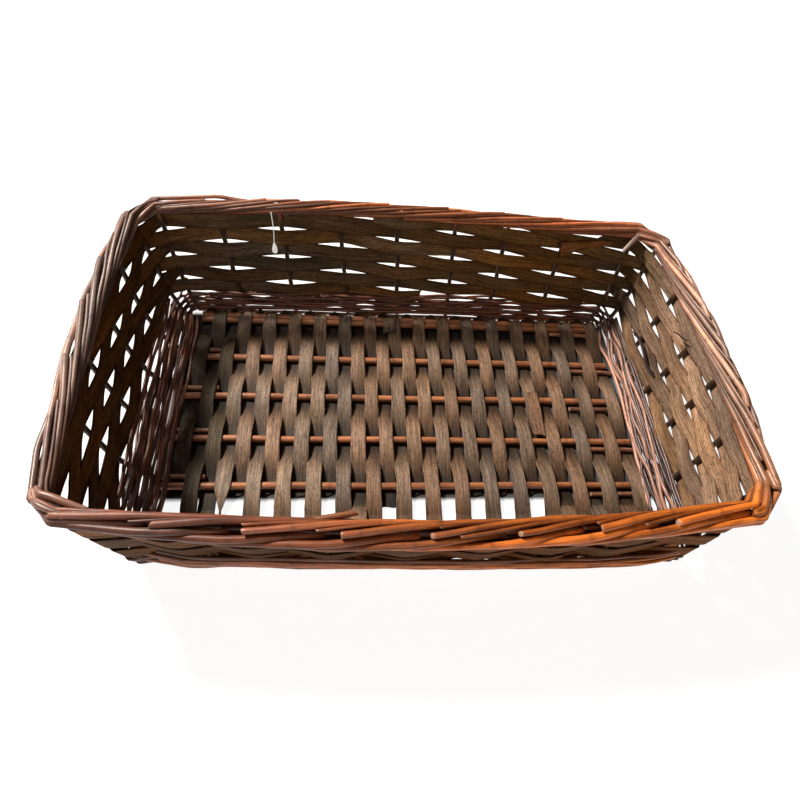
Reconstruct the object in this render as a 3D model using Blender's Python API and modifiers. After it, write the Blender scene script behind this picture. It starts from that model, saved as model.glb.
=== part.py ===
"""Shallow rectangular tray basket of split wood strips and brown willow rods.

Lengths below are in millimetres and turned into metres by MM. X runs along the
long side, Y from the front wall to the back wall and Z up. Stakes are counted
clockwise as seen from above: along the front from right to left, up the left
wall, along the back from left to right and down the right wall. The top of
each stake is laid down in that same direction and makes the rolled border.
"""

import math

import bmesh
import bpy
from mathutils import Vector

MM = 0.001

# ---- driving dimensions, mm ----
FOOT_Z = 4.0            # height at which the foot outline is measured
RIM_Z = 107.5           # height of the middle of the border
FOOT_LONG_Y = 120.5     # stake line of the long walls at the foot, at the corners
FOOT_LONG_BOW = 1.5
FOOT_LEFT_X = 194.5     # stake line of the short walls at the foot, at the corners
FOOT_RIGHT_X = 205.0
FOOT_SHORT_BOW = 1.0
FOOT_CORNER_X = 189.0   # corner stakes of the long walls at the foot, left end
FOOT_CORNER_Y = 108.0   # corner stakes of the short walls at the foot
RIM_FRONT_Y, RIM_FRONT_BOW = 131.0, 12.7
RIM_BACK_Y, RIM_BACK_BOW = 130.0, 6.7
RIM_LEFT_X, RIM_LEFT_BOW = 218.6, 6.3
RIM_RIGHT_X, RIM_RIGHT_BOW = 219.0, 7.8
RIM_CORNER_X = 203.0
RIM_CORNER_Y = 114.0
BELLY = 8.4             # how far the left wall bows out past a straight slope
BELLY_SHARES = {
    "front": (0.25, 0, 0, 0, 0, 0, 0, 0, 0.25), "left": (0.5, 1, 1, 1, 1, 0.5),
    "back": (0.25, 0, 0, 0, 0, 0, 0, 0, 0.35), "right": (0.5, 0.15, 0.15, 0.15, 0.15, 0.3),
}

STAKE_R = 2.1
STRIP_T = 1.0           # thickness of every split strip
GAP = 0.3               # clearance kept between touching pieces

# places of the stakes along each wall: at the foot and at the rim
FRONT_FOOT = (198.0, 133.0, 87.0, 41.0, -8.0, -58.0, -106.0, -149.0, -189.0)
FRONT_RIM = (203.0, 137.0, 89.0, 41.5, -9.0, -62.0, -115.0, -160.0, -204.0)
LEFT_FOOT = (-108.0, -57.0, -15.2, 26.7, 68.5, 108.0)
LEFT_RIM = (-116.5, -60.0, -17.0, 27.5, 71.0, 114.0)
BACK_FOOT = (-189.0, -146.0, -97.5, -47.5, 0.5, 49.0, 91.0, 144.0, 198.0)
BACK_RIM = (-203.0, -157.0, -107.0, -58.0, -9.0, 42.0, 89.0, 142.0, 203.0)
RIGHT_FOOT = (108.0, 52.9, 10.5, -30.8, -72.6, -108.0)
RIGHT_RIM = (114.0, 67.0, 19.0, -21.0, -63.0, -114.0)

# floor
STICK_R = 2.75
STICK_Y = (-64.8, -23.0, 18.9, 60.7)
STICK_ENDS = (-188.6, 199.0)
EDGE_Y = (104.6, 110.5)          # the two rods of each edge pair
EDGE_ENDS = (-182.0, 192.0)
STICK_Z = STRIP_T + GAP + STICK_R
FLOOR_STRIPS = 32
FLOOR_PITCH = 11.75
FLOOR_W = 11.0
OVER_Z = STICK_Z + STICK_R + GAP + STRIP_T / 2
UNDER_Z = STRIP_T / 2
TAIL_OFFSET = 7.8                # tail of a short-wall stake beside its stick

# side weave: six bands of split strip
ROW_TOP_Z, ROW_PITCH, ROW_W, ROWS = 93.9, 12.6, 12.0, 6
ROW_OFF = STAKE_R + GAP + STRIP_T / 2
ROW_FLAT = 4.0

# wale: two thin rods that wind round the foot
WALE_R = 1.25
WALE_OFF = STAKE_R + GAP + WALE_R + 0.1
WALE_Z0, WALE_STEP = 6.5, 2.8
WALE_FLAT = 3.2

# border: place of a strand's middle, outwards and up from the rim line, at
# each whole number of stakes since it was laid down
BORDER = {
    0.0: (0.0, 6.6), 1.0: (5.2, 4.2), 2.0: (6.2, -0.6), 3.0: (4.75, -5.2),
    3.5: (0.0, -4.6), 4.0: (-4.75, -5.2), 5.0: (-6.2, -0.6), 6.0: (-5.2, 4.2),
    7.0: (0.0, 6.6),
}
BORDER_END = 6.84

# hang tag
TAG_X = -112.0
THREAD_R, THREAD_LEN = 0.4, 30.0
TAG_LEN, TAG_W, TAG_T = 12.0, 6.4, 0.9

COLOURS = {
    "floor_stick": ((0.30, 0.13, 0.06), 0.55),
    "floor_weave": ((0.22, 0.16, 0.11), 0.75),
    "stake": ((0.27, 0.11, 0.05), 0.50),
    "side_strip": ((0.19, 0.13, 0.09), 0.75),
    "wale": ((0.20, 0.08, 0.05), 0.50),
    "tag": ((0.85, 0.85, 0.84), 0.60),
}


def clear_scene():
    for obj in list(bpy.data.objects):
        bpy.data.objects.remove(obj, do_unlink=True)


def material(name, kind):
    colour, rough = COLOURS[kind]
    mat = bpy.data.materials.new(name)
    mat.use_nodes = True
    shader = mat.node_tree.nodes["Principled BSDF"]
    shader.inputs["Base Color"].default_value = (*colour, 1.0)
    shader.inputs["Roughness"].default_value = rough
    shader.inputs["Metallic"].default_value = 0.0
    return mat


# ---- the walls ----
def foot_point(wall, s):
    if wall in ("front", "back"):
        y = FOOT_LONG_Y + FOOT_LONG_BOW * (1 - (s / FOOT_CORNER_X) ** 2)
        return Vector((s, -y if wall == "front" else y, FOOT_Z))
    bow = FOOT_SHORT_BOW * (1 - (s / FOOT_CORNER_Y) ** 2)
    return Vector((-FOOT_LEFT_X - bow if wall == "left" else FOOT_RIGHT_X + bow, s, FOOT_Z))


def rim_point(wall, s):
    if wall == "front":
        return Vector((s, -RIM_FRONT_Y - RIM_FRONT_BOW * (1 - (s / RIM_CORNER_X) ** 2), RIM_Z))
    if wall == "back":
        return Vector((s, RIM_BACK_Y + RIM_BACK_BOW * (1 - (s / RIM_CORNER_X) ** 2), RIM_Z))
    if wall == "left":
        return Vector((-RIM_LEFT_X - RIM_LEFT_BOW * (1 - (s / RIM_CORNER_Y) ** 2), s, RIM_Z))
    return Vector((RIM_RIGHT_X + RIM_RIGHT_BOW * (1 - (s / RIM_CORNER_Y) ** 2), s, RIM_Z))


WALLS = (
    ("front", FRONT_FOOT, FRONT_RIM),
    ("left", LEFT_FOOT, LEFT_RIM),
    ("back", BACK_FOOT, BACK_RIM),
    ("right", RIGHT_FOOT, RIGHT_RIM),
)
STAKES = [
    (wall, number + 1, foot_point(wall, foot), rim_point(wall, rim))
    for wall, feet, rims in WALLS
    for number, (foot, rim) in enumerate(zip(feet, rims))
]
COUNT = len(STAKES)


def stake_dir(i):
    _, _, foot, rim = STAKES[i % COUNT]
    return (rim - foot).normalized()


def belly_share(i):
    """How much of the belly stake i follows."""
    wall, number, _, _ = STAKES[i % COUNT]
    return BELLY_SHARES[wall][number - 1]


def stake_at(i, z):
    _, _, foot, rim = STAKES[i % COUNT]
    point = foot + (rim - foot) * ((z - FOOT_Z) / (RIM_Z - FOOT_Z))
    t = min(max((z - FOOT_Z) / 100.0, 0.0), 1.0)
    bow = BELLY * belly_share(i) * t ** 0.824 * (1 - t) ** 1.6 / 0.2114
    return point + Vector((math.copysign(bow, foot.x), 0, 0))


def lean_at(i, z):
    """The direction in which stake i rises at height z."""
    return (stake_at(i, z + 0.5) - stake_at(i, z - 0.5)).normalized()


def edge(i, z=RIM_Z):
    """Unit direction and outward normal, both level, from stake i to the next."""
    step = stake_at(i + 1, z) - stake_at(i, z)
    along = Vector((step.x, step.y, 0)).normalized()
    return along, Vector((-along.y, along.x, 0))


def outward(i, z=RIM_Z):
    """Outward normal at stake i, and how much a corner stretches an offset."""
    before, after = edge(i - 1, z)[1], edge(i, z)[1]
    middle = (before + after).normalized()
    return middle, 1.0 / middle.dot(after)


def square_to(vector, axis):
    return (vector - axis * vector.dot(axis)).normalized()


def border_place(i, out, up):
    """A point of the border at stake i, out and up from the rim line."""
    normal, stretch = outward(i)
    lean = stake_dir(i)
    side = square_to(normal, lean)
    return STAKES[i % COUNT][3] + side * (out * stretch) + lean * up


def border_point(i, m):
    """Where the strand of stake i is after passing m stakes."""
    low, high = math.floor(m), math.ceil(m)
    if low == high:
        return border_place(i + low, *BORDER[float(low)])
    f = m - low
    if m == 3.5:
        place = BORDER[3.5]
    else:
        a, b = BORDER[float(low)], BORDER[float(high)]
        place = (a[0] + (b[0] - a[0]) * f, a[1] + (b[1] - a[1]) * f)
    return border_place(i + low, *place) * (1 - f) + border_place(i + high, *place) * f


def border_end(i):
    """Stakes passed when a strand stops, a little before the next bend."""
    step = (STAKES[(i + 7) % COUNT][3] - STAKES[(i + 6) % COUNT][3]).length
    return 7.0 - max(7.0 - BORDER_END, 3.8 / step)


# ---- builders ----
def rod(name, kind, points, radius, resolution=1, cyclic=False):
    curve = bpy.data.curves.new(name, "CURVE")
    curve.dimensions = "3D"
    curve.bevel_depth = radius * MM
    curve.bevel_resolution = resolution
    curve.use_fill_caps = not cyclic
    curve.twist_mode = "MINIMUM"
    spline = curve.splines.new("POLY")
    spline.points.add(len(points) - 1)
    for target, point in zip(spline.points, points):
        target.co = (point.x * MM, point.y * MM, point.z * MM, 1.0)
    spline.use_cyclic_u = cyclic
    spline.use_smooth = True
    obj = bpy.data.objects.new(name, curve)
    obj.data.materials.append(material(name, kind))
    return obj


def ribbon(name, kind, sections, closed=False):
    """A strip of wood: its middle surface through pairs of edge points, with thickness."""
    mesh = bpy.data.meshes.new(name)
    bm = bmesh.new()
    pairs = [(bm.verts.new(a * MM), bm.verts.new(b * MM)) for a, b in sections]
    count = len(pairs)
    for n in range(count if closed else count - 1):
        (a, b), (c, d) = pairs[n], pairs[(n + 1) % count]
        bm.faces.new((a, b, d, c))
    bm.normal_update()
    bm.to_mesh(mesh)
    bm.free()
    obj = bpy.data.objects.new(name, mesh)
    solid = obj.modifiers.new("thickness", "SOLIDIFY")
    solid.thickness = STRIP_T * MM
    solid.offset = 0.0
    solid.use_even_offset = False
    mesh.materials.append(material(name, kind))
    return obj


def make_stake(i):
    wall, number, foot, rim = STAKES[i]
    lean = stake_dir(i)
    points = []
    inward = {"left": 1.0, "right": -1.0}.get(wall)
    tail_y = foot.y
    if (wall, number) in (("right", 1), ("left", 1)):
        tail_y = math.copysign(EDGE_Y[0] - STICK_R - GAP - STAKE_R - 1.0, foot.y)
    middle = wall in ("left", "right") and 1 < number < 6
    if middle or tail_y != foot.y:
        reach = 56.0 if wall == "right" else 38.0
        x = foot.x
        points = [
            Vector((x + inward * reach, tail_y, STICK_Z)),
            Vector((x + inward * (12.0 if middle else 8.0), tail_y, STICK_Z)),
            Vector((x + inward * (7.0 if middle else 5.0), tail_y + (foot.y - tail_y) * 0.45, STICK_Z - 0.9)),
            Vector((x + inward * 2.0, foot.y, 2.5)),
            stake_at(i, 5.4),
        ]
    else:
        points = [stake_at(i, 1.2), stake_at(i, 12.0)]
    if belly_share(i) > 0:
        start = 2 if points[-1].z > 10.0 else 1
        heights = (12.0, 20.0, *(ROW_TOP_Z - ROW_PITCH * row for row in reversed(range(ROWS))))
        points += [stake_at(i, z) for z in heights[start - 1:]]
    along, _ = edge(i)
    points.append(stake_at(i, RIM_Z) + lean * 3.2)
    points.append(stake_at(i, RIM_Z) + lean * 5.7 + along * 1.4)
    points.append(border_place(i, *BORDER[0.0]) + along * 4.2)
    points += [border_point(i, m) for m in (1.0, 2.0, 3.0, 3.5, 4.0, 5.0, 6.0, border_end(i))]
    return rod(f"stake_{wall}_{number}", "stake", points, STAKE_R)


def make_row(row):
    """One closed band of strip that passes outside and inside alternate stakes."""
    z = ROW_TOP_Z - ROW_PITCH * row
    sections = []
    for i in range(COUNT):
        outside = (i + row) % 2 == 1
        off = ROW_OFF if outside else -ROW_OFF - 0.3 * belly_share(i)
        lean = lean_at(i, z)
        centre = stake_at(i, z)
        half = lean * (ROW_W / 2)
        (t0, n0), (t1, n1) = edge(i - 1, z), edge(i, z)
        middle, stretch = outward(i, z)
        corner = stretch > 1.02
        places = [centre - t0 * ROW_FLAT + square_to(n0, lean) * off]
        if corner and outside:
            places.append(centre + square_to(middle, lean) * off * stretch)
        places.append(centre + t1 * ROW_FLAT + square_to(n1, lean) * off)
        sections += [(p - half, p + half) for p in places]
    return ribbon(f"side_strip_row_{row + 1}", "side_strip", sections, closed=True)


def make_wale(number, start, laps, z0, parity):
    points = []
    for n in range(round(laps * COUNT) + 1):
        i = start + n
        z = z0 + 2 * WALE_STEP * n / COUNT
        off = WALE_OFF if (i + parity) % 2 else -WALE_OFF
        normal, stretch = outward(i, z)
        lean = lean_at(i, z)
        centre = stake_at(i, z)
        middle = centre + square_to(normal, lean) * off * stretch
        if stretch < 1.02:
            points.append(middle)
            continue
        (t0, n0), (t1, n1) = edge(i - 1, z), edge(i, z)
        points.append(centre - t0 * WALE_FLAT + square_to(n0, lean) * off)
        if off > 0:
            points.append(middle)
        points.append(centre + t1 * WALE_FLAT + square_to(n1, lean) * off)
    return rod(f"wale_rod_{number}", "wale", points, WALE_R)


# ---- floor ----
def strip_x(k):
    """Middle of a strip. They lie wider apart towards the right end."""
    x = (k - (FLOOR_STRIPS - 1) / 2) * FLOOR_PITCH
    return x + 2.4 + (3.1 * (x / 182.1) ** 2 if x < 0 else 8.6 * (x / 182.1) ** 2.5)


def flats(k):
    """Half lengths of a strip's level stretch at each support: towards +Y and -Y."""
    x = strip_x(k)
    left, right = x < -145.0, x > 145.0
    plus = TAIL_OFFSET + STAKE_R + 1.0 if left else 4.2
    minus = TAIL_OFFSET + STAKE_R + 1.0 if right else 4.2
    return plus, minus


def strip_sections(k, end_cut):
    """A strip's sections from the back edge pair to the front one."""
    x = strip_x(k)
    odd = k % 2 == 1
    plus, minus = flats(k)
    back_over = odd
    level = [(EDGE_Y[1], back_over)]
    back_in = EDGE_Y[0] - (10.6 if x > 145.0 else 4.2)
    level.append((back_in, back_over))
    over = not back_over
    for y in reversed(STICK_Y):
        if y == STICK_Y[0] and not odd and end_cut:
            level.append((y + plus, over))
            break
        level += [(y + plus, over), (y - minus, over)]
        over = not over
    else:
        front_in = EDGE_Y[0] - (10.6 if x < -145.0 else 4.2)
        level += [(-front_in, not odd), (-EDGE_Y[1], not odd)]
    half = FLOOR_W / 2
    sections = []
    for y, is_over in level:
        z = OVER_Z if is_over else UNDER_Z
        sections.append((Vector((x - half, y, z)), Vector((x + half, y, z))))
    if not odd and end_cut:
        y = STICK_Y[0] - max(minus, 6.5)
        slant = 2.0 + 1.2 * (k % 3)
        sections.append((Vector((x - half, y - slant - 2.5, UNDER_Z)), Vector((x + half, y + 1.0, UNDER_Z))))
    elif odd and end_cut:
        y = -EDGE_Y[1] - 3.0
        sections[-1] = (Vector((x - half, y, UNDER_Z)), Vector((x + half, y, UNDER_Z)))
    return sections


def fold(k_low, k_high, sign):
    """The turn round the outer edge rod, from the under strip to the over strip."""
    radius = STICK_R + GAP + STRIP_T / 2
    half = FLOOR_W / 2
    sections = []
    for step in (1, 2, 3):
        angle = math.radians(-90 + 45 * step)
        x = strip_x(k_low) + (strip_x(k_high) - strip_x(k_low)) * step / 4
        y = sign * (EDGE_Y[1] + radius * math.cos(angle))
        z = STICK_Z + radius * math.sin(angle)
        sections.append((Vector((x - half, y, z)), Vector((x + half, y, z))))
    return sections


# strips that are one length, folded round the back pair and, where four of
# them run right through, round the front pair as well
LENGTHS = (
    (0, 1), (2, 3), (4, 5), (6, 7), (8, 9), (10, 11, 12, 13), (14, 15),
    (16, 17), (18, 19), (20, 21), (22, 23), (24, 25, 26, 27, 28, 29, 30, 31),
)


def make_weave(number, ks):
    sections = []
    for place, k in enumerate(ks):
        first, last = place == 0, place == len(ks) - 1
        run = strip_sections(k, end_cut=first if k % 2 == 0 else last)
        if k % 2 == 0:          # comes up from the front edge to the back pair, under it
            if not first:
                sections += fold(k - 1, k, -1.0)
            sections += list(reversed(run))
        else:                   # over the back pair and down to the front edge
            sections += fold(k - 1, k, 1.0)
            sections += run
    return ribbon(f"floor_weave_{number:02d}", "floor_weave", sections)


def build():
    clear_scene()
    collection = bpy.data.collections.new("tray_basket")
    bpy.context.scene.collection.children.link(collection)
    parent = bpy.data.objects.new("basket_centre", None)
    collection.objects.link(parent)

    made = []
    for n, y in enumerate(STICK_Y, 1):
        made.append(rod(f"floor_stick_{n}", "floor_stick",
                        [Vector((x, y, STICK_Z)) for x in STICK_ENDS], STICK_R, 2))
    for side, sign in (("front", -1), ("back", 1)):
        for which, y in zip(("inner", "outer"), EDGE_Y):
            made.append(rod(f"floor_edge_rod_{side}_{which}", "floor_stick",
                            [Vector((x, sign * y, STICK_Z)) for x in EDGE_ENDS], STICK_R, 2))
    for n, ks in enumerate(LENGTHS, 1):
        made.append(make_weave(n, ks))
    for i in range(COUNT):
        made.append(make_stake(i))
    for row in range(ROWS):
        made.append(make_row(row))
    made.append(make_wale(1, 2, 2.75, WALE_Z0, 0))
    made.append(make_wale(2, 17, 1.75, WALE_Z0 + WALE_STEP * 2, 0))
    for obj in made:
        collection.objects.link(obj)
        obj.parent = parent

    # the origin goes to the middle of the footprint
    bpy.context.view_layer.update()
    graph = bpy.context.evaluated_depsgraph_get()
    low, high = Vector((1e9,) * 3), Vector((-1e9,) * 3)
    for obj in made:
        evaluated = obj.evaluated_get(graph)
        for vertex in evaluated.to_mesh().vertices:
            for axis in range(3):
                low[axis] = min(low[axis], vertex.co[axis])
                high[axis] = max(high[axis], vertex.co[axis])
        evaluated.to_mesh_clear()
    parent.location = (-(low.x + high.x) / 2, -(low.y + high.y) / 2, -low.z)

    # the hang tag turns about the point where its thread leaves the border
    rim = rim_point("back", TAG_X)
    pivot = Vector((TAG_X, rim.y - 9.4, rim.z + 4.0))
    hinge = bpy.data.objects.new("tag_hinge", None)
    collection.objects.link(hinge)
    hinge.parent = parent
    hinge.location = pivot * MM
    thread = rod("tag_thread", "tag", [Vector((0, 0, -THREAD_LEN * t / 12)) for t in range(13)], THREAD_R, 2)
    outline = bpy.data.curves.new("hang_tag", "CURVE")
    outline.dimensions = "2D"
    outline.fill_mode = "BOTH"
    outline.extrude = TAG_T / 2 * MM
    steps = 20
    spline = outline.splines.new("POLY")
    spline.points.add(steps - 1)
    for n in range(steps):
        a = 2 * math.pi * n / steps
        narrow = 0.62 - 0.38 * math.cos(a)
        spline.points[n].co = (TAG_W / 2 * math.sin(a) * narrow * MM, TAG_LEN / 2 * math.cos(a) * MM, 0, 1)
    spline.use_cyclic_u = True
    tag = bpy.data.objects.new("hang_tag", outline)
    outline.materials.append(material("hang_tag", "tag"))
    for obj in (thread, tag):
        collection.objects.link(obj)
        obj.parent = hinge
    tag.rotation_euler = (math.pi / 2, 0, 0)
    tag.location = (0, 0, -(THREAD_LEN + GAP + TAG_LEN / 2) * MM)
    bpy.context.view_layer.update()
    print("frame shift, mm:", [round(c / MM, 3) for c in parent.location])
    print("tag hinge, mm:", [round(c / MM, 3) for c in hinge.matrix_world.translation])


build()
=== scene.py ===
"""Looks of a shallow rectangular tray basket: willow rods, split wood strips and a blank hang tag.

Every piece is worked out in millimetres in the basket's own modelling frame and
then moved onto the frame's nodes. X runs along the long side, Y from the near
wall to the far wall, Z up. Stakes are counted clockwise as seen from above: the
near wall from right to left, the left wall, the far wall, the right wall.
"""

import math

import bpy
import numpy as np
from mathutils import Matrix, Vector


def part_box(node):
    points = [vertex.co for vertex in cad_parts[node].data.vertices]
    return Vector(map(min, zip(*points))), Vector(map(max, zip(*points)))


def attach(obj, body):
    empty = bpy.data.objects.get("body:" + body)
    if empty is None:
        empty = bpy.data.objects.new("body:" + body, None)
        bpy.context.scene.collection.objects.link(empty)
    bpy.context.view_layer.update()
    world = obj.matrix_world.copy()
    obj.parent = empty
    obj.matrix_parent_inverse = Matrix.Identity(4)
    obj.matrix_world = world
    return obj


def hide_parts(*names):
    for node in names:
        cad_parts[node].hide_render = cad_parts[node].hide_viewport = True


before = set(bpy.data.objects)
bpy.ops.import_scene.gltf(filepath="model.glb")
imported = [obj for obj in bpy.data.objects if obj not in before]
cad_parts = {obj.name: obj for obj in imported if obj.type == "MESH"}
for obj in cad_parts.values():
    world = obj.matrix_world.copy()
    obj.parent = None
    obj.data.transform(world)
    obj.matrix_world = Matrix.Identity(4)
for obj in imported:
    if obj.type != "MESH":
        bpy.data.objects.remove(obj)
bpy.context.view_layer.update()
MM = 0.001


def V(*c):
    return np.array(c, float)


# the modelling frame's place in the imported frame, read off the first floor stick
_low, _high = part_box("floor_stick_1")
SHIFT = V((_low.x + _high.x) / 2 / MM - 5.2, (_low.y + _high.y) / 2 / MM + 64.8, 0.0)

# ------------------------------------------------------------------ camera
YAW, PITCH, ROLL = 0.19969, 0.97156, 0.18205
fwd = V(math.sin(YAW) * math.cos(PITCH), math.cos(YAW) * math.cos(PITCH), -math.sin(PITCH))
side0 = V(math.cos(YAW), -math.sin(YAW), 0.0)
up0 = np.cross(side0, fwd)
right = side0 * math.cos(ROLL) + up0 * math.sin(ROLL)
up = -side0 * math.sin(ROLL) + up0 * math.cos(ROLL)
camera_data = bpy.data.cameras.new("camera")
camera = bpy.data.objects.new("camera", camera_data)
bpy.context.scene.collection.objects.link(camera)
place = (V(-56.67, -254.85, 410.93) + SHIFT) * MM
camera.matrix_world = Matrix((
    (right[0], up[0], -fwd[0], place[0]),
    (right[1], up[1], -fwd[1], place[1]),
    (right[2], up[2], -fwd[2], place[2]),
    (0, 0, 0, 1),
))
camera_data.lens = 25.2
camera_data.sensor_width = 36.0
camera_data.clip_start, camera_data.clip_end = 0.02, 50
bpy.context.scene.camera = camera

# ------------------------------------------------------------------ shape of the basket, mm
FOOT_Z, RIM_Z = 4.0, 107.5
FOOT_LONG_Y, FOOT_LONG_BOW = 120.5, 1.5
FOOT_LEFT_X, FOOT_RIGHT_X, FOOT_SHORT_BOW = 194.5, 205.0, 1.0
FOOT_CORNER_X, FOOT_CORNER_Y = 189.0, 108.0
RIM_CORNER_X, RIM_CORNER_Y = 203.0, 114.0
BELLY = 8.4
BELLY_SHARES = {
    "front": (0.25, 0, 0, 0, 0, 0, 0, 0, 0.25), "left": (0.5, 1, 1, 1, 1, 0.5),
    "back": (0.25, 0, 0, 0, 0, 0, 0, 0, 0.35), "right": (0.5, 0.15, 0.15, 0.15, 0.15, 0.3),
}
FRONT_FOOT = (198.0, 133.0, 87.0, 41.0, -8.0, -58.0, -106.0, -149.0, -189.0)
FRONT_RIM = (203.0, 137.0, 89.0, 41.5, -9.0, -62.0, -115.0, -160.0, -207.0)
LEFT_FOOT = (-108.0, -57.0, -15.2, 26.7, 68.5, 108.0)
LEFT_RIM = (-119.5, -60.0, -17.0, 27.5, 71.0, 114.0)
BACK_FOOT = (-189.0, -146.0, -97.5, -47.5, 0.5, 49.0, 91.0, 144.0, 198.0)
BACK_RIM = (-203.0, -157.0, -107.0, -58.0, -9.0, 42.0, 89.0, 142.0, 203.0)
RIGHT_FOOT = (108.0, 52.9, 10.5, -30.8, -72.6, -108.0)
RIGHT_RIM = (114.0, 67.0, 19.0, -21.0, -63.0, -114.0)
STICK_R = 2.75
STICK_Y = (-64.8, -23.0, 18.9, 60.7)
STICK_Z = 4.05
EDGE_Y = (104.6, 110.5)
OVER_Z, UNDER_Z = 7.6, 0.5
ROW_TOP_Z, ROW_PITCH, ROWS = 93.9, 12.6, 6
# where a bent-over stake lies in the rolled border: stakes passed, how far out, how far up
BORDER = np.array((
    (0.10, 0.6, -0.6), (0.3, 1.5, 0.6), (0.5, 2.7, 2.3), (0.75, 4.4, 3.0), (1.0, 5.5, 2.4), (1.5, 6.3, 0.4),
    (2.0, 6.4, -1.8), (2.5, 5.5, -4.0), (3.0, 3.7, -5.5), (3.3, 1.7, -6.1), (3.5, 0.0, -6.2), (3.7, -1.7, -6.1),
    (4.0, -3.9, -5.2), (4.5, -5.7, -3.2), (5.0, -6.3, -0.9), (5.5, -5.8, 1.6), (6.0, -4.2, 3.9), (6.4, -1.6, 5.3),
    (6.65, 0.3, 5.6), (6.9, 1.8, 5.3), (7.2, 3.0, 4.8),
))


def foot_point(wall, s):
    if wall in ("front", "back"):
        y = FOOT_LONG_Y + FOOT_LONG_BOW * (1 - (s / FOOT_CORNER_X) ** 2)
        return V(s, -y if wall == "front" else y, FOOT_Z)
    bow = FOOT_SHORT_BOW * (1 - (s / FOOT_CORNER_Y) ** 2)
    return V(-FOOT_LEFT_X - bow if wall == "left" else FOOT_RIGHT_X + bow, s, FOOT_Z)


def rim_point(wall, s):
    if wall == "front":
        return V(s, -131.0 - 12.7 * (1 - (s / RIM_CORNER_X) ** 2), RIM_Z)
    if wall == "back":
        return V(s, 130.0 + 6.7 * (1 - (s / RIM_CORNER_X) ** 2), RIM_Z)
    if wall == "left":
        return V(-218.6 - 6.3 * (1 - (s / RIM_CORNER_Y) ** 2), s, RIM_Z)
    return V(219.0 + 7.8 * (1 - (s / RIM_CORNER_Y) ** 2), s, RIM_Z)


STAKES = [
    (wall, n + 1, foot_point(wall, a), rim_point(wall, b))
    for wall, feet, rims in (("front", FRONT_FOOT, FRONT_RIM), ("left", LEFT_FOOT, LEFT_RIM),
                             ("back", BACK_FOOT, BACK_RIM), ("right", RIGHT_FOOT, RIGHT_RIM))
    for n, (a, b) in enumerate(zip(feet, rims))
]
COUNT = len(STAKES)


def unit(v):
    return v / np.linalg.norm(v)


def stake_dir(i):
    _, _, foot, rim = STAKES[i % COUNT]
    return unit(rim - foot)


NEAR_OUT = (5.0, 5.6, 4.8, 4.0, 3.0, 1.8, 0.8, 0.0, 0.0)


def stake_at(i, z):
    wall, number, foot, rim = STAKES[i % COUNT]
    t = min(max((z - FOOT_Z) / 100.0, 0.0), 1.0)
    bow = BELLY * BELLY_SHARES[wall][number - 1] * t ** 0.824 * (1 - t) ** 1.6 / 0.2114
    return foot + (rim - foot) * ((z - FOOT_Z) / (RIM_Z - FOOT_Z)) + V(
        math.copysign(bow, foot[0]),
        -NEAR_OUT[number - 1] * float(np.interp(z, (0, 10, 24, 62, 84), (0.35, 1.0, 1.0, 0.3, 0))) if wall == "front" else 0, 0)


def lean_at(i, z):
    """The direction in which stake i rises at height z."""
    return unit(stake_at(i, z + 0.5) - stake_at(i, z - 0.5))


def edge(i, z=RIM_Z):
    step = stake_at(i + 1, z) - stake_at(i, z)
    along = unit(V(step[0], step[1], 0))
    return along, V(-along[1], along[0], 0)


def outward(i, z=RIM_Z):
    before, after = edge(i - 1, z)[1], edge(i, z)[1]
    middle = unit(before + after)
    return middle, 1.0 / middle.dot(after)


def square_to(v, axis):
    return unit(v - axis * v.dot(axis))


def border_place(i, out, up_):
    normal, stretch = outward(i)
    lean = stake_dir(i)
    return STAKES[i % COUNT][3] + square_to(normal, lean) * (out * stretch) + lean * up_


# ------------------------------------------------------------------ numbers that wander, always the same way
def noise1(s, seed, scale):
    """Smooth wandering between -1 and 1 along s, with bumps about scale long."""
    s = np.asarray(s, float) / scale
    table = np.random.default_rng(seed).uniform(-1, 1, 256)
    i = np.floor(s).astype(int)
    f = s - i
    f = f * f * (3 - 2 * f)
    return table[i % 256] * (1 - f) + table[(i + 1) % 256] * f


def smooth(points, step, extra=None):
    """Points about step apart along a smooth curve through the given ones, with extra columns carried along."""
    p = np.array(points, float)
    cols = p if extra is None else np.hstack([p, np.array(extra, float).reshape(len(p), -1)])
    t = np.concatenate([[0], np.cumsum(np.sqrt(np.linalg.norm(np.diff(p, axis=0), axis=1)) + 1e-9)])
    m = np.zeros_like(cols)
    for i in range(len(cols)):
        a, b = max(i - 1, 0), min(i + 1, len(cols) - 1)
        if a == i or b == i:
            m[i] = (cols[b] - cols[a]) / (t[b] - t[a])
        else:
            d0, d1 = (cols[i] - cols[a]) / (t[i] - t[a]), (cols[b] - cols[i]) / (t[b] - t[i])
            w0, w1 = t[b] - t[i], t[i] - t[a]
            m[i] = (d0 * w0 + d1 * w1) / (w0 + w1)
    out = []
    for i in range(len(cols) - 1):
        h = t[i + 1] - t[i]
        n = max(2, int(np.linalg.norm(p[i + 1] - p[i]) / step * 2) + 1)
        u = np.linspace(0, 1, n, endpoint=False)[:, None]
        out.append((2 * u**3 - 3 * u**2 + 1) * cols[i] + (u**3 - 2 * u**2 + u) * h * m[i]
                   + (-2 * u**3 + 3 * u**2) * cols[i + 1] + (u**3 - u**2) * h * m[i + 1])
    out.append(cols[-1:])
    fine = np.vstack(out)
    along = np.concatenate([[0], np.cumsum(np.linalg.norm(np.diff(fine[:, :3], axis=0), axis=1))])
    at = np.linspace(0, along[-1], max(3, int(round(along[-1] / step)) + 1))
    line = np.stack([np.interp(at, along, fine[:, k]) for k in range(fine.shape[1])], axis=1)
    return (line, at) if extra is None else (line[:, :3], at, line[:, 3:])


def tangents(line):
    d = np.gradient(line, axis=0)
    return d / np.maximum(np.linalg.norm(d, axis=1, keepdims=True), 1e-9)


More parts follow.
